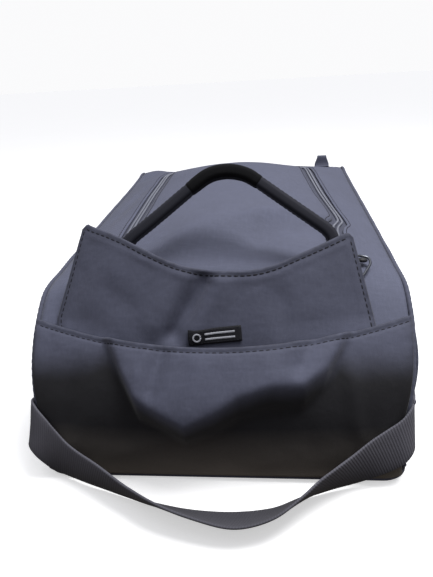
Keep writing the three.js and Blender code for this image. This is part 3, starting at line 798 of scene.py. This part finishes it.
def make_lid():
    left, right = half_u(-1, -ZIP_SLOT, LID_START), half_u(1, -ZIP_SLOT, LID_START)
    t = np.concatenate([[0, 0.008, 0.02], np.linspace(0.035, 0.965, 52), [0.98, 0.992, 1]])
    x = left[:, None, 0] + (right - left)[:, None, 0] * t
    s = np.broadcast_to(left[:, None, 1], x.shape)
    from_edge = np.minimum(np.abs(x - left[:, :1]), np.abs(x - right[:, :1]))
    from_end = np.maximum(ZIP_END - ZIP_SLOT - s, 0)
    lid = slab("lid_cloth", on_cloth(x, s, rolled(np.minimum(from_edge, from_end))), CLOTH)
    dress(lid, CLOTH_LOOK, nodes=["lid_panel", "top_front_panel"])
    bend_lid(lid)


make_lid()

# ---- Zip: tapes, teeth and the rows of stitches beside it ----
TAPE_REACHES = (0.2, 3, 6, 9.5)
TAPE_START = ZIP_START + 4
TOOTH = 1.7  # from one tooth to the next on the same side
TOOTH_AT = 1.55  # the middle of a tooth, from the middle of the zip
TOOTH_OUT = -1.25


def tape(name, side):
    """One tape of the zip: side is 1 outside the U and -1 inside it."""
    rows = [on_cloth(*around_u(side * reach, TAPE_START).T, -CLOTH - 0.9) for reach in TAPE_REACHES]
    return slab(name, np.stack(rows, 1), 0.8)


def teeth(name, side, late):
    """Coil turns along a tape's edge, each lying across the zip."""
    edge = resample(around_u(side * TOOTH_AT, TAPE_START), 4000)
    run = lengths(edge)
    at = np.arange(TOOTH * (0.25 + 0.5 * late), run[-1], TOOTH)
    near, ahead = (interpolated(line, run, at) for line in (edge, np.roll(edge, -8, axis=0)))
    ahead[-1] = 2 * near[-1] - near[-2]
    centre = on_cloth(*near.T, TOOTH_OUT)
    forward = unit(on_cloth(*ahead.T, TOOTH_OUT) - centre)
    normal = unit(on_cloth(*near.T, TOOTH_OUT + 1) - centre)
    turns = np.stack([np.cross(normal, forward), forward, normal], 1)
    return strewn(name, *capsule(2.0, 1.2, 1.6), centre, turns)


def zip_row(reach, start):
    return surface_line(on_cloth, *around_u(reach, start).T)


def make_zip():
    dress(tape("zip_tape_outer", 1), TAPE_LOOK, "shell", ["zip_half_outer"])
    dress(teeth("zip_teeth_outer", 1, 0), COIL_LOOK, "shell")
    halves = ["zip_half_lid", "zip_half_front_left", "zip_half_front_right"]
    bend_lid(dress(tape("zip_tape_inner", -1), TAPE_LOOK, nodes=halves))
    bend_lid(dress(teeth("zip_teeth_inner", -1, 1), COIL_LOOK))
    stitched("stitches_zip_outer", [zip_row(ZIP_SLOT + 2.3, ZIP_START + 1)], "shell")
    bend_lid(stitched("stitches_zip_lid", [zip_row(-ZIP_SLOT - 2.3, ZIP_START + 2)]))


make_zip()


# ---- Side panels and piping ----
SIDE_INSET = 2.2  # from the seam to the side panels' edges


def side_edges():
    """The side panel's front, top, back and base edges, just inside the piping."""
    normal = np.stack([-TANGENT[:, 1], TANGENT[:, 0]], -1)
    edge = PATH - normal * SIDE_INSET
    brow, rear = (int(np.argmax(RUN >= s)) for s in (along("y", 50), FAR_SEAM + 14))
    front, top, back = edge[: brow + 1], edge[brow : rear + 1], edge[rear:][::-1]
    return resample(front, 34), resample(top, 130), resample(back, 34), resample([edge[0], edge[-1]], 130)


FRONT_EDGE, TOP_EDGE, BACK_EDGE, BASE_EDGE = side_edges()
OUTLINE = np.vstack([FRONT_EDGE, TOP_EDGE, BACK_EDGE, BASE_EDGE])


def side_grid():
    """The side panel spanned smoothly between its four edges."""
    u, v = np.linspace(0, 1, 130)[None, :, None], np.linspace(0, 1, 34)[:, None, None]
    spanned = (1 - v) * BASE_EDGE[None] + v * TOP_EDGE[None]
    spanned += (1 - u) * FRONT_EDGE[:, None] + u * BACK_EDGE[:, None]
    corners = (1 - u) * (1 - v) * BASE_EDGE[0] + u * (1 - v) * BASE_EDGE[-1]
    return spanned - corners - (1 - u) * v * TOP_EDGE[0] - u * v * TOP_EDGE[-1]


SIDE_CREASES = (
    ((70, 84), (120, 62), 6, -1.5), ((300, 100), (262, 72), 6, -1.5),
    ((130, 14), (190, 34), 7, -1.4), ((250, 16), (300, 40), 7, -1.2),
)


def side_out(y, z):
    """How far a side panel stands off its seam's plane."""
    flat = np.stack([y, z], -1).reshape(-1, 1, 2)
    gap = np.linalg.norm(flat - OUTLINE[None], axis=-1).min(1).reshape(np.shape(y))
    full = 4.2 * (1 - np.exp(-gap / 26))
    soft = smooth(0, 25, gap)
    waves = 1.3 * ripple(y, z, 55, 2.2) + 0.45 * ripple(y, z, 19, 6.1)
    return full + soft * (waves + creases(y, z, SIDE_CREASES))


def side_point(y, z, side, out=0.0):
    y, z = np.broadcast_arrays(np.asarray(y, float), np.asarray(z, float))
    sag = (1.5 if side < 0 else 4.0) * bump(y, 34, 36) * bump(z, 62, 24)
    x = side * (HALF_WIDTH + 0.9 + side_out(y, z) + sag + out)
    return settled(np.stack([x, y, z], -1))


PIPING_STEPS = 420
PIPING_RADIUS = 1.5


def make_piping(name, side):
    seam = resample(PATH[12:-12], PIPING_STEPS)
    lift = across_and_up(np.column_stack([np.zeros(PIPING_STEPS), seam]), (1, 0, 0))[1]
    centre = np.column_stack([np.full(PIPING_STEPS, side * (HALF_WIDTH + 1.1)), seam])
    centre -= lift * 0.7 * np.sign(lift[PIPING_STEPS // 2, 2])
    centre[:, 0] += side * 0.25 * ripple(seam[:, 0], seam[:, 1], 16, 4.0 + side)
    puffed = PIPING_RADIUS + 0.1 * np.sin(np.arange(PIPING_STEPS) * 1.9)
    sections = carried(centre, (1, 0, 0), circle(12) * puffed[:, None, None])
    piping = tube(f"piping_cloth_{name}", settled(centre), settled(sections), angles(12) * 1.7 * MM)
    dress(piping, PIPING_LOOK, "shell", [f"piping_{name}"])


def make_sides():
    grid = side_grid()
    for name, side in (("left", -1), ("right", 1)):
        panel = slab(f"side_cloth_{name}", side_point(grid[..., 0], grid[..., 1], side), CLOTH)
        dress(panel, CLOTH_LOOK, "shell", [f"side_panel_{name}"])
        make_piping(name, side)
    across = np.linspace(5 - EDGE_X, EDGE_X - 5, 120)
    stitched("stitches_back", [surface_line(on_cloth, across, FAR_SEAM - 3)], "shell", width=0.6)


make_sides()

# ---- Slip pocket ----
HEM = 8
POCKET_SWELL = 15
POCKET_OUT = CLOTH + 0.7


def mouth_at(x):
    low, high = along("z", 72), along("z", 87)
    return low + (high - low) * (x / EDGE_X) ** 2


RIDGE_X = (-112, -84, -68, -58, -50, -45, -31, -17, 0, 14, 32, 50, 62, 70, 80, 112)
RIDGE_Z = (88, 86, 80, 70, 59, 53, 47, 41.5, 47.5, 54, 58, 59, 65, 74, 84, 88)
RIDGE_OUT = (1, 1.5, 5, 10, 14, 17, 18, 19.5, 19, 18.5, 18, 17.5, 13, 9, 4, 1)
RIDGE_ROUND = 1.1
POCKET_CREASES = (
    ((-38, 50), (-28, 74), 4.5, -3.2), ((-44, 60), (-36, 76), 3.5, 1.4), ((46, 62), (58, 80), 4.5, -2.6),
    ((40, 70), (50, 82), 3.5, 1.2), ((-17, 42), (-6, 68), 6, 1.6), ((-60, 20), (-20, 30), 6, 1.2),
    ((84, 30), (76, 66), 5, 1.4), ((-92, 30), (-84, 70), 6, -1.2),
)


def blended_max(a, b):
    """The greater of two distances, with the corner between them rounded."""
    return RIDGE_ROUND * np.logaddexp(a / RIDGE_ROUND, b / RIDGE_ROUND)


def pocket_out(x, s):
    """How far the pocket stands off the end: it billows over a ridge and tucks back below it."""
    z = np.interp(s, RUN, PATH[:, 1])
    ridge = np.interp(x, RIDGE_X, RIDGE_Z)
    reach = np.interp(x, RIDGE_X, RIDGE_OUT)
    mouth = POCKET_SWELL * np.clip(1 - (x / EDGE_X) ** 2, 0, 1) ** 1.05
    top = np.interp(mouth_at(x), RUN, PATH[:, 1])
    rise = np.clip((z - ridge) / np.maximum(top - ridge, 4), -1.5, 1)
    upper = reach + (mouth - reach) * rise
    lower = reach + 0.95 * (z - ridge)
    hung = 2.2 + 3.2 * smooth(4, 46, z) * np.clip(1 - (x / 100) ** 2, 0, 1)
    billow = blended_max(-blended_max(-upper, -lower), np.minimum(hung, mouth + 2))
    soft = smooth(0, 18, EDGE_X - np.abs(x)) * smooth(3, 16, z)
    waves = 0.7 * ripple(x, z, 26, 1.7) + 0.3 * ripple(x, z, 11, 7.7)
    return np.maximum(billow, 0.6) + soft * (creases(x, z, POCKET_CREASES) + waves)


def on_pocket(x, share):
    x, share = np.broadcast_arrays(np.asarray(x, float), np.asarray(share, float))
    s = np.maximum(share * mouth_at(x), 0)
    return settled(on_band(x, s, pocket_out(x, s) + hem_relief(share) + POCKET_OUT))


HEM_SHARE = 1 - HEM / float(mouth_at(0))
STITCH_SHARE = 0.74  # how far up the hem its stitching runs


def hem_relief(share):
    """The turned hem is plumper than the cloth below it, and pinched where it is sewn."""
    v = (share - HEM_SHARE) / (1 - HEM_SHARE)
    return 0.3 * smooth(-0.5, 0.2, v) - 0.6 * bump(v, STITCH_SHARE, 0.1)


def pocket_painted_shade(x, share):
    """Painted shade where the pocket hangs slack under its billow."""
    z = np.interp(share * mouth_at(x), RUN, PATH[:, 1])
    top = np.minimum(np.interp(x, RIDGE_X, RIDGE_Z), 75)
    return smooth(-1.5, 8.5 + 9 * smooth(50, 84, np.abs(x)), top - z + 1.2 * ripple(x, z, 14, 4.4))


def make_pocket():
    share = np.concatenate([np.linspace(0.004, HEM_SHARE, 60)[:-1], np.linspace(HEM_SHARE, 1, 12)])
    x, share = np.meshgrid(np.linspace(-EDGE_X, EDGE_X, 140), share)
    # The pocket's painted shade under its billow goes to its material as a value on each vertex.
    panel = slab("pocket_billow", on_pocket(x, share), CLOTH, painted_shade=pocket_painted_shade(x, share))
    dress(panel, SHADED_CLOTH_LOOK, "shell", ["front_pocket", "pocket_hem"])
    across = np.linspace(2 - EDGE_X, EDGE_X - 2, 300)
    row = surface_line(on_pocket, across, HEM_SHARE + (1 - HEM_SHARE) * STITCH_SHARE, FORWARD, dv=0.005)
    stitched("stitches_hem", [row], "shell", width=SEWN_WIDTH)


make_pocket()

# ---- Cover flap with its sewn base and label ----
FLAP_FOLD_Z = 91
FLAP_FOLD_Y = 21.3
FLAP_HALF = 94
FLAP_TAPER = (15.5, 12.0)  # left and right
FLAP_CORNER_Z = 139
FLAP_LEAN = 0.42
FLAP_BOW = 12
FLAP_SHIFT = -4
FLAP_SEWN = 2.1  # from the flap's edge to its stitching
FLAP_TOP = catmull([  # across and up
    (-94, 141), (-91.5, 143.2), (-88, 142.4), (-74, 139.6), (-59, 135.7), (-40, 129.3), (-21.4, 123.3),
    (-4, 120), (12.3, 119), (28.4, 119), (40.8, 120.9), (58, 125.8), (78, 131.3), (89.6, 134.3),
    (92.3, 134.4), (94, 132.6),
], 12)
FLAP_CREASES = (  # the last number is how sharply a crease ends
    ((-5, 119), (-27, 81), 5.2, -5.5, 0.12), ((5, 117), (-14, 82), 7, 2.2, 0.15),
    ((-16, 121), (-38, 86), 7, 1.6, 0.15), ((38, 110), (38, 84), 7, -1.3), ((54, 118), (58, 94), 9, 0.8),
    ((-60, 128), (-78, 96), 9, 1.2), ((-70, 112), (-48, 98), 7, -0.8),
)
BEHIND = (0.0, 300.0, 60.0)


def flap_folds(x, z):
    """How far the flap stands forward of its plain shape."""
    return creases(x, z, FLAP_CREASES) + 0.8 * ripple(x, z, 38, 9.3) + 0.3 * ripple(x, z, 13, 2.9)


def flap_plain(u, z):
    rise = np.clip((z - FLAP_FOLD_Z) / (FLAP_CORNER_Z - FLAP_FOLD_Z), 0, 1.1)
    half = FLAP_HALF - np.where(u < 0, *FLAP_TAPER) * rise
    y = FLAP_FOLD_Y + FLAP_BOW * u * u + FLAP_LEAN * (z - FLAP_FOLD_Z)
    return np.stack([FLAP_SHIFT + u * half, y, z], -1)


def on_flap(u, v):
    """The flap's front face: v runs -1..0 up its sewn base and 0..1 from the fold to its top edge."""
    u, v = np.broadcast_arrays(np.asarray(u, float), np.asarray(v, float))
    top = np.interp(u * FLAP_HALF, FLAP_TOP[:, 0], FLAP_TOP[:, 1])
    upper = flap_plain(u, FLAP_FOLD_Z + (top - FLAP_FOLD_Z) * np.maximum(v, 0))
    sewn = on_band(u * FLAP_HALF, along("z", 67), CLOTH + 0.35)
    lower = sewn + (flap_plain(u, np.full_like(u, FLAP_FOLD_Z)) - sewn) * np.clip(v + 1, 0, 1)[..., None]
    points = np.where((v > 0)[..., None], upper, lower)
    forward = flap_folds(points[..., 0], points[..., 2]) * smooth(-1, -0.3, v)
    sewn_in = np.minimum((1 - np.abs(u)) * FLAP_HALF, (1 - v) * (top - FLAP_FOLD_Z))
    forward = forward - 0.5 * bump(sewn_in, FLAP_SEWN, 1.2)
    points[..., 1] -= forward * 0.92
    points[..., 2] += forward * 0.39 * smooth(-0.2, 0.4, v)
    return points


def bend_flap(piece):
    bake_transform(piece)
    return piece


def make_flap():
    rows = np.concatenate([np.linspace(-1, 0, 14)[:-1], np.linspace(0, 1, 34)])
    u, v = np.meshgrid(np.linspace(-1, 1, 116), rows)
    flap = slab("cover_flap_cloth", on_flap(u, v), CLOTH, BEHIND, hem=0.3, hem_width=7)
    dress(flap, SHADED_CLOTH_LOOK, nodes=["cover_flap", "flap_base"])
    bend_flap(flap)
    lines = [(side * (1 - FLAP_SEWN / FLAP_HALF), np.linspace(-0.4, 0.95, 220)) for side in (-1, 1)]
    u = np.linspace(-0.97, 0.97, 320)
    height = np.interp(u * FLAP_HALF, FLAP_TOP[:, 0], FLAP_TOP[:, 1]) - FLAP_FOLD_Z
    lines.append((u, 1 - FLAP_SEWN / height))
    rows = []
    for u, v in lines:
        points, normals = surface_line(on_flap, u, v, FORWARD, du=0.005, dv=0.005)
        rows.append((points + normals * 0.4, normals))
    bend_flap(stitched("stitches_flap", rows, width=SEWN_WIDTH))


make_flap()


def on_base(x, z, out):
    """A point off the front of the flap's sewn base, by x and height."""
    u = (x - FLAP_SHIFT) / FLAP_HALF
    v = np.linspace(-1, 0.3, 120)
    column = on_flap(np.full_like(v, u), v)
    y = np.interp(z, column[:, 2], column[:, 1])
    return np.array((x, y - out, z))


LABEL_MIDDLE = (-0.4, 85.9)
LABEL_SIZE = (30.5, 8.2)
LABEL_TURN = math.radians(4.5)


def on_label(a, b, out):
    """Places on the label, from its own middle, a along it and b up it."""
    x = LABEL_MIDDLE[0] + a * math.cos(LABEL_TURN) - b * math.sin(LABEL_TURN)
    z = LABEL_MIDDLE[1] + a * math.sin(LABEL_TURN) + b * math.cos(LABEL_TURN)
    flat = np.stack(np.broadcast_arrays(x, z), -1)
    return np.array([on_base(px, pz, out) for px, pz in flat.reshape(-1, 2)]).reshape(*flat.shape[:-1], 3)


def make_label():
    a, b = np.meshgrid(*(np.linspace(-0.5, 0.5, n) * size for n, size in zip((20, 7), LABEL_SIZE)))
    label = slab("woven_label", on_label(a, b, 1.1), 0.7, BEHIND)
    dress(label, LABEL_LOOK, "shell", ["flap_label"])
    angle = np.linspace(0, 2 * math.pi, 25)
    ring = (-10.2 + 2.1 * np.cos(angle), 2.1 * np.sin(angle))
    bars = [(np.linspace(-5.6, 11.6, 24), np.full(24, b)) for b in (1.45, -1.45)]
    for k, (a, b) in enumerate([ring, *bars]):
        outline = rounded_bar(0.35, 1.15 if k else 0.9, 0.15, 2)
        mark = swept(f"label_mark_{k}", on_label(a, b, 1.22), (0, -1, 0.2), outline)
        dress(mark, MARK_LOOK, "shell")
    w, h = LABEL_SIZE[0] / 2 - 0.8, LABEL_SIZE[1] / 2 - 0.7
    edge = resample([(-w, -h), (w, -h), (w, h), (-w, h), (-w, -h)], 90)
    row = (on_label(*edge.T, 1.15), np.tile((0, -1.0, 0.1), (90, 1)))
    stitched("stitches_label", [row], "shell", pitch=1.9, width=0.4, height=0.3)


make_label()

# ---- Carry handle, grip and tabs ----
HANDLE_Y, HANDLE_Z = 53, 113
HANDLE_LEAN = 0.42
HANDLE_ARCH = (
    (-58, 1), (-60, 8), (-58.6, 15), (-54.4, 20.6), (-43.8, 29), (-33.2, 37.4), (-22.8, 45.8),
    (-12.3, 54.1), (-6.6, 58), (-1, 60.1), (6.5, 60.9), (13.4, 59.9), (19.2, 57.8), (24.1, 54.6),
    (36.1, 45.7), (48.2, 36.7), (59, 28.7), (66.6, 22.6), (69.6, 17.4), (69.6, 11), (66, 1),
)
HANDLE_STEPS = 160
GRIP_FROM, GRIP_TO = 57, 99  # of the handle's steps
HANDLE_NORMAL = (0, math.cos(HANDLE_LEAN), -math.sin(HANDLE_LEAN))


def make_handle():
    arch = resample(catmull(HANDLE_ARCH, 24), HANDLE_STEPS)
    leaning = arch[:, 1:] * (math.sin(HANDLE_LEAN), math.cos(HANDLE_LEAN))
    centre = np.column_stack([arch[:, 0], leaning + (HANDLE_Y, HANDLE_Z)])
    t = np.linspace(0, 1, HANDLE_STEPS)
    slim = 1 - 0.22 * (smooth(0.06, 0, t) + smooth(0.94, 1, t))
    scale = np.stack([slim * (1 + 0.03 * ripple(t * 300, t * 0, 20, 3.3)), np.ones_like(t)], -1)
    handle = swept("handle_webbing_arch", centre, HANDLE_NORMAL, rounded_bar(9.6, 6.8, 2.2), scale)
    dress(handle, HANDLE_LOOK, "handle", ["carry_handle"])
    across, up = across_and_up(centre, HANDLE_NORMAL)
    rows = []
    for a, b in ((3.3, 3.35), (-3.3, 3.35), (3.3, -3.35), (-3.3, -3.35)):
        line = centre + across * a + up * b
        for part in (slice(6, GRIP_FROM + 1), slice(GRIP_TO - 1, HANDLE_STEPS - 6)):
            rows.append((line[part], up[part] * np.sign(b)))
    stitched("stitches_handle", rows, "handle", pitch=3.2, width=0.55, height=0.35)

    part = slice(GRIP_FROM, GRIP_TO)
    t = np.linspace(0, 1, GRIP_TO - GRIP_FROM)
    plump = 1 + 0.05 * np.sin(np.pi * t) - 0.16 * (np.exp(-t * 45) + np.exp(-(1 - t) * 45))
    plump -= 0.05 * (bump(t, 0.08, 0.014) + bump(t, 0.92, 0.014))
    plump += 0.012 * ripple(t * 60, t * 0, 5, 1.2)
    grip = swept("handle_grip_sleeve", centre[part], HANDLE_NORMAL, rounded_bar(10.8, 7.9, 3.0, 6),
                 np.stack([plump, plump], -1))
    dress(grip, GRIP_SHADE_LOOK, "handle", ["handle_grip"])
    seam = centre[part] + up[part] * 3.95 * plump[:, None] + across[part] * 2.6
    stitched("stitches_grip", [(seam[2:-2], up[part][2:-2])], "handle", 2.6, 0.5, 0.3, HANDLE_LOOK)


def make_tabs():
    for name, x in (("left", -58), ("right", 66)):
        foot = on_cloth(x, np.linspace(along("y", 38), along("y", 51), 9), 1.6)
        pivot = [(x, HANDLE_Y + 0.3, HANDLE_Z - 4.2), (x, HANDLE_Y + 1.4, HANDLE_Z + 1.0),
                 (x * 0.985, HANDLE_Y + 2.6, HANDLE_Z + 4)]
        line = resample(catmull(np.vstack([foot[::2], pivot]), 12), 60)
        t = np.linspace(0, 1, 60)
        scale = np.stack([1 - 0.26 * smooth(0.62, 0.95, t), 1 + 0.5 * smooth(0.7, 1, t)], -1)
        tab = swept(f"handle_tab_webbing_{name}", line, (1, 0, 0), rounded_bar(12, 2.3, 0.8), scale)
        dress(tab, HANDLE_LOOK, nodes=[f"handle_tab_{name}"])
        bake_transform(tab)
        low, high = along("y", 38) + 1.6, along("y", 49)
        box = resample([(-4.6, low), (4.6, low), (4.6, high), (-4.6, high), (-4.6, low), (4.6, high)], 90)
        row = surface_line(on_cloth, x + box[:, 0], box[:, 1], out=2.85)
        stitched(f"stitches_tab_{name}", [row], "shell", pitch=2.6, width=0.55)


make_handle()
make_tabs()


# ---- The strap's sewn ends and the hanging loop ----
def make_strap_tabs():
    low, high = STRAP_TOP - WEBBING + 3, STRAP_TOP - 3
    near, far = 17, 28
    corners = [(near, low), (far, low), (far, high), (near, high)]
    box = resample(corners + [corners[k] for k in (0, 2, 1, 3)], 160)
    for name, side in (("left", -1), ("right", 1)):
        y, z = np.meshgrid(np.linspace(9.5, 30, 16), np.linspace(STRAP_TOP - WEBBING, STRAP_TOP, 16))
        tab = slab(f"strap_end_{name}", side_point(y, z, side, 1.7), STRAP_THICK)
        dress(tab, WEBBING_LOOK, "shell", [f"strap_tab_{name}"])
        row = surface_line(side_point, *box.T, facing=(side, 0, 0), side=side, out=1.75)
        stitched(f"stitches_strap_{name}", [row], "shell", pitch=3)


def make_loop():
    foot = on_cloth(90.0, FAR_SEAM - 7)
    half = np.array([(-3.4, 0.2), (-2.2, 1.3), (-1.15, 4), (-1.0, 8), (-0.8, 10.4)])
    arch = np.vstack([half, [(0, 11.2)], half[::-1] * (-1, 1)])
    line = resample(catmull(np.column_stack([0 * arch[:, 0], arch]), 8), 90) + foot
    slim = 1 - 0.36 * smooth(2, 11.5, line[:, 2] - foot[2])
    scale = np.stack([slim, np.ones_like(slim)], -1)
    loop = swept("hanging_loop_webbing", line, (1, 0, 0), rounded_bar(15, 1.7, 0.7), scale)
    dress(loop, PIPING_LOOK, "shell", ["hanging_loop"])


make_strap_tabs()
make_loop()


# ---- Hard parts that keep their shape: finer edges and their materials ----
def keep(node, look, bevel):
    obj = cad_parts[node]
    obj.data.materials.clear()
    obj.data.materials.append(look)
    for polygon in obj.data.polygons:
        polygon.use_smooth = False
    edge = obj.modifiers.new("edges", "BEVEL")
    edge.width = bevel * MM
    edge.segments = 2
    edge.limit_method = "ANGLE"
    edge.angle_limit = math.radians(30)


keep("base_panel", SHADED_CLOTH_LOOK, 0.9)
keep("base_board", BOARD_LOOK, 0.4)
for hardware in ("zip_slider", "slider_bridge"):
    keep(hardware, METAL_LOOK, 0.25)
for hardware in ("zip_stop_left", "zip_stop_right"):
    keep(hardware, METAL_LOOK, 0.3)


# ---- The zip's pull: a wire loop through the slider's bridge, lying out to the side ----
PULL_LOOP = (
    (77.2, 63.7, 112.9), (80.2, 66.3, 113.5), (84.5, 70.4, 114.2), (89, 73.6, 113.4), (93, 73.2, 112.3),
    (93.8, 68, 110.9), (91.9, 62.9, 109.6), (89.4, 58, 108.6), (86.8, 53.6, 107.8), (84, 54, 108.6),
    (80.3, 58.2, 110.6), (77.6, 61.2, 112.2),
)
PULL_RADIUS = 0.8


def make_pull():
    line = resample(catmull((*PULL_LOOP, PULL_LOOP[0]), 10), 97)[:-1]
    sections = carried(line, (0.1, 0.2, 1), PULL_RADIUS * circle(10))
    wire = tube("pull_wire", line, sections, angles(10) / (2 * math.pi), closed=True)
    dress(wire, METAL_LOOK, "pull", ["zip_pull"])
    turn = np.array([[(0.94, 0.3, -0.14), (-0.3, 0.95, 0.0), (0.14, 0.04, 0.99)]])
    # A black bead at the loop's end: a painted shadow standing for the dark hole in the pull.
    bead = strewn("pull_shadow_bead", *capsule(6.4, 4.6, 3.0, sides=12), np.array([(89.6, 70.8, 111.6)]), turn)
    dress(bead, BOARD_LOOK, "pull")


make_pull()


# ---- Stage and light ----
SKY = (  # brightness from straight down to straight up
    (0.0, (0.085, 0.072, 0.058)), (0.49, (0.09, 0.08, 0.07)), (0.54, (0.15, 0.15, 0.155)),
    (0.8, (0.34, 0.34, 0.36)), (1.0, (0.9, 0.91, 0.96)),
)


def make_stage():
    """A pale floor and a soft sky, brightest overhead. The floor takes shadows and lights nothing itself."""
    mesh = bpy.data.meshes.new("floor")
    reach = 30.0
    mesh.from_pydata([(-reach, -reach, 0), (reach, -reach, 0), (reach, reach, 0), (-reach, reach, 0)], [],
                     [(0, 1, 2, 3)])
    floor = bpy.data.objects.new("floor", mesh)
    floor.location.z = -0.0004
    floor.visible_diffuse = False
    floor.visible_glossy = False
    bpy.context.collection.objects.link(floor)
    paint = Graph(bpy.data.materials.new("floor_paint"))
    paint.paint(Base_Color=paint.mix(paint.noise(4), (0.86, 0.86, 0.86), (0.9, 0.9, 0.9)), Roughness=0.9,
                Emission_Color=(1, 1, 1, 1), Emission_Strength=0.5)
    mesh.materials.append(paint.owner)

    world = Graph(bpy.data.worlds.new("studio"), "Background")
    up = world.split(world.node("TexCoord").outputs["Generated"])["Z"]
    ramp = world.node("ValToRGB", {0: world.node("MapRange", {"Value": up, "From Min": -1}).outputs[0]})
    while len(ramp.color_ramp.elements) < len(SKY):
        ramp.color_ramp.elements.new(0.5)
    for stop, (at, colour) in zip(ramp.color_ramp.elements, SKY):
        stop.position = at
        stop.color = (*colour, 1)
    seen = world.node("LightPath").outputs["Is Camera Ray"]
    world.paint(Color=world.mix(seen, ramp.outputs[0], (0.96, 0.96, 0.97)))
    bpy.context.scene.world = world.owner
    bpy.context.scene.view_settings.view_transform = "Standard"


def add_light(name, place, target, size, power):
    data = bpy.data.lights.new(name, "AREA")
    data.size = size
    data.energy = power
    light = bpy.data.objects.new(name, data)
    light.location = place
    light.rotation_euler = (Vector(target) - Vector(place)).to_track_quat("-Z", "Y").to_euler()
    bpy.context.collection.objects.link(light)


make_stage()
add_light("key", (0.40, -0.14, 1.20), (0, -0.05, 0.06), 0.5, 12.5)
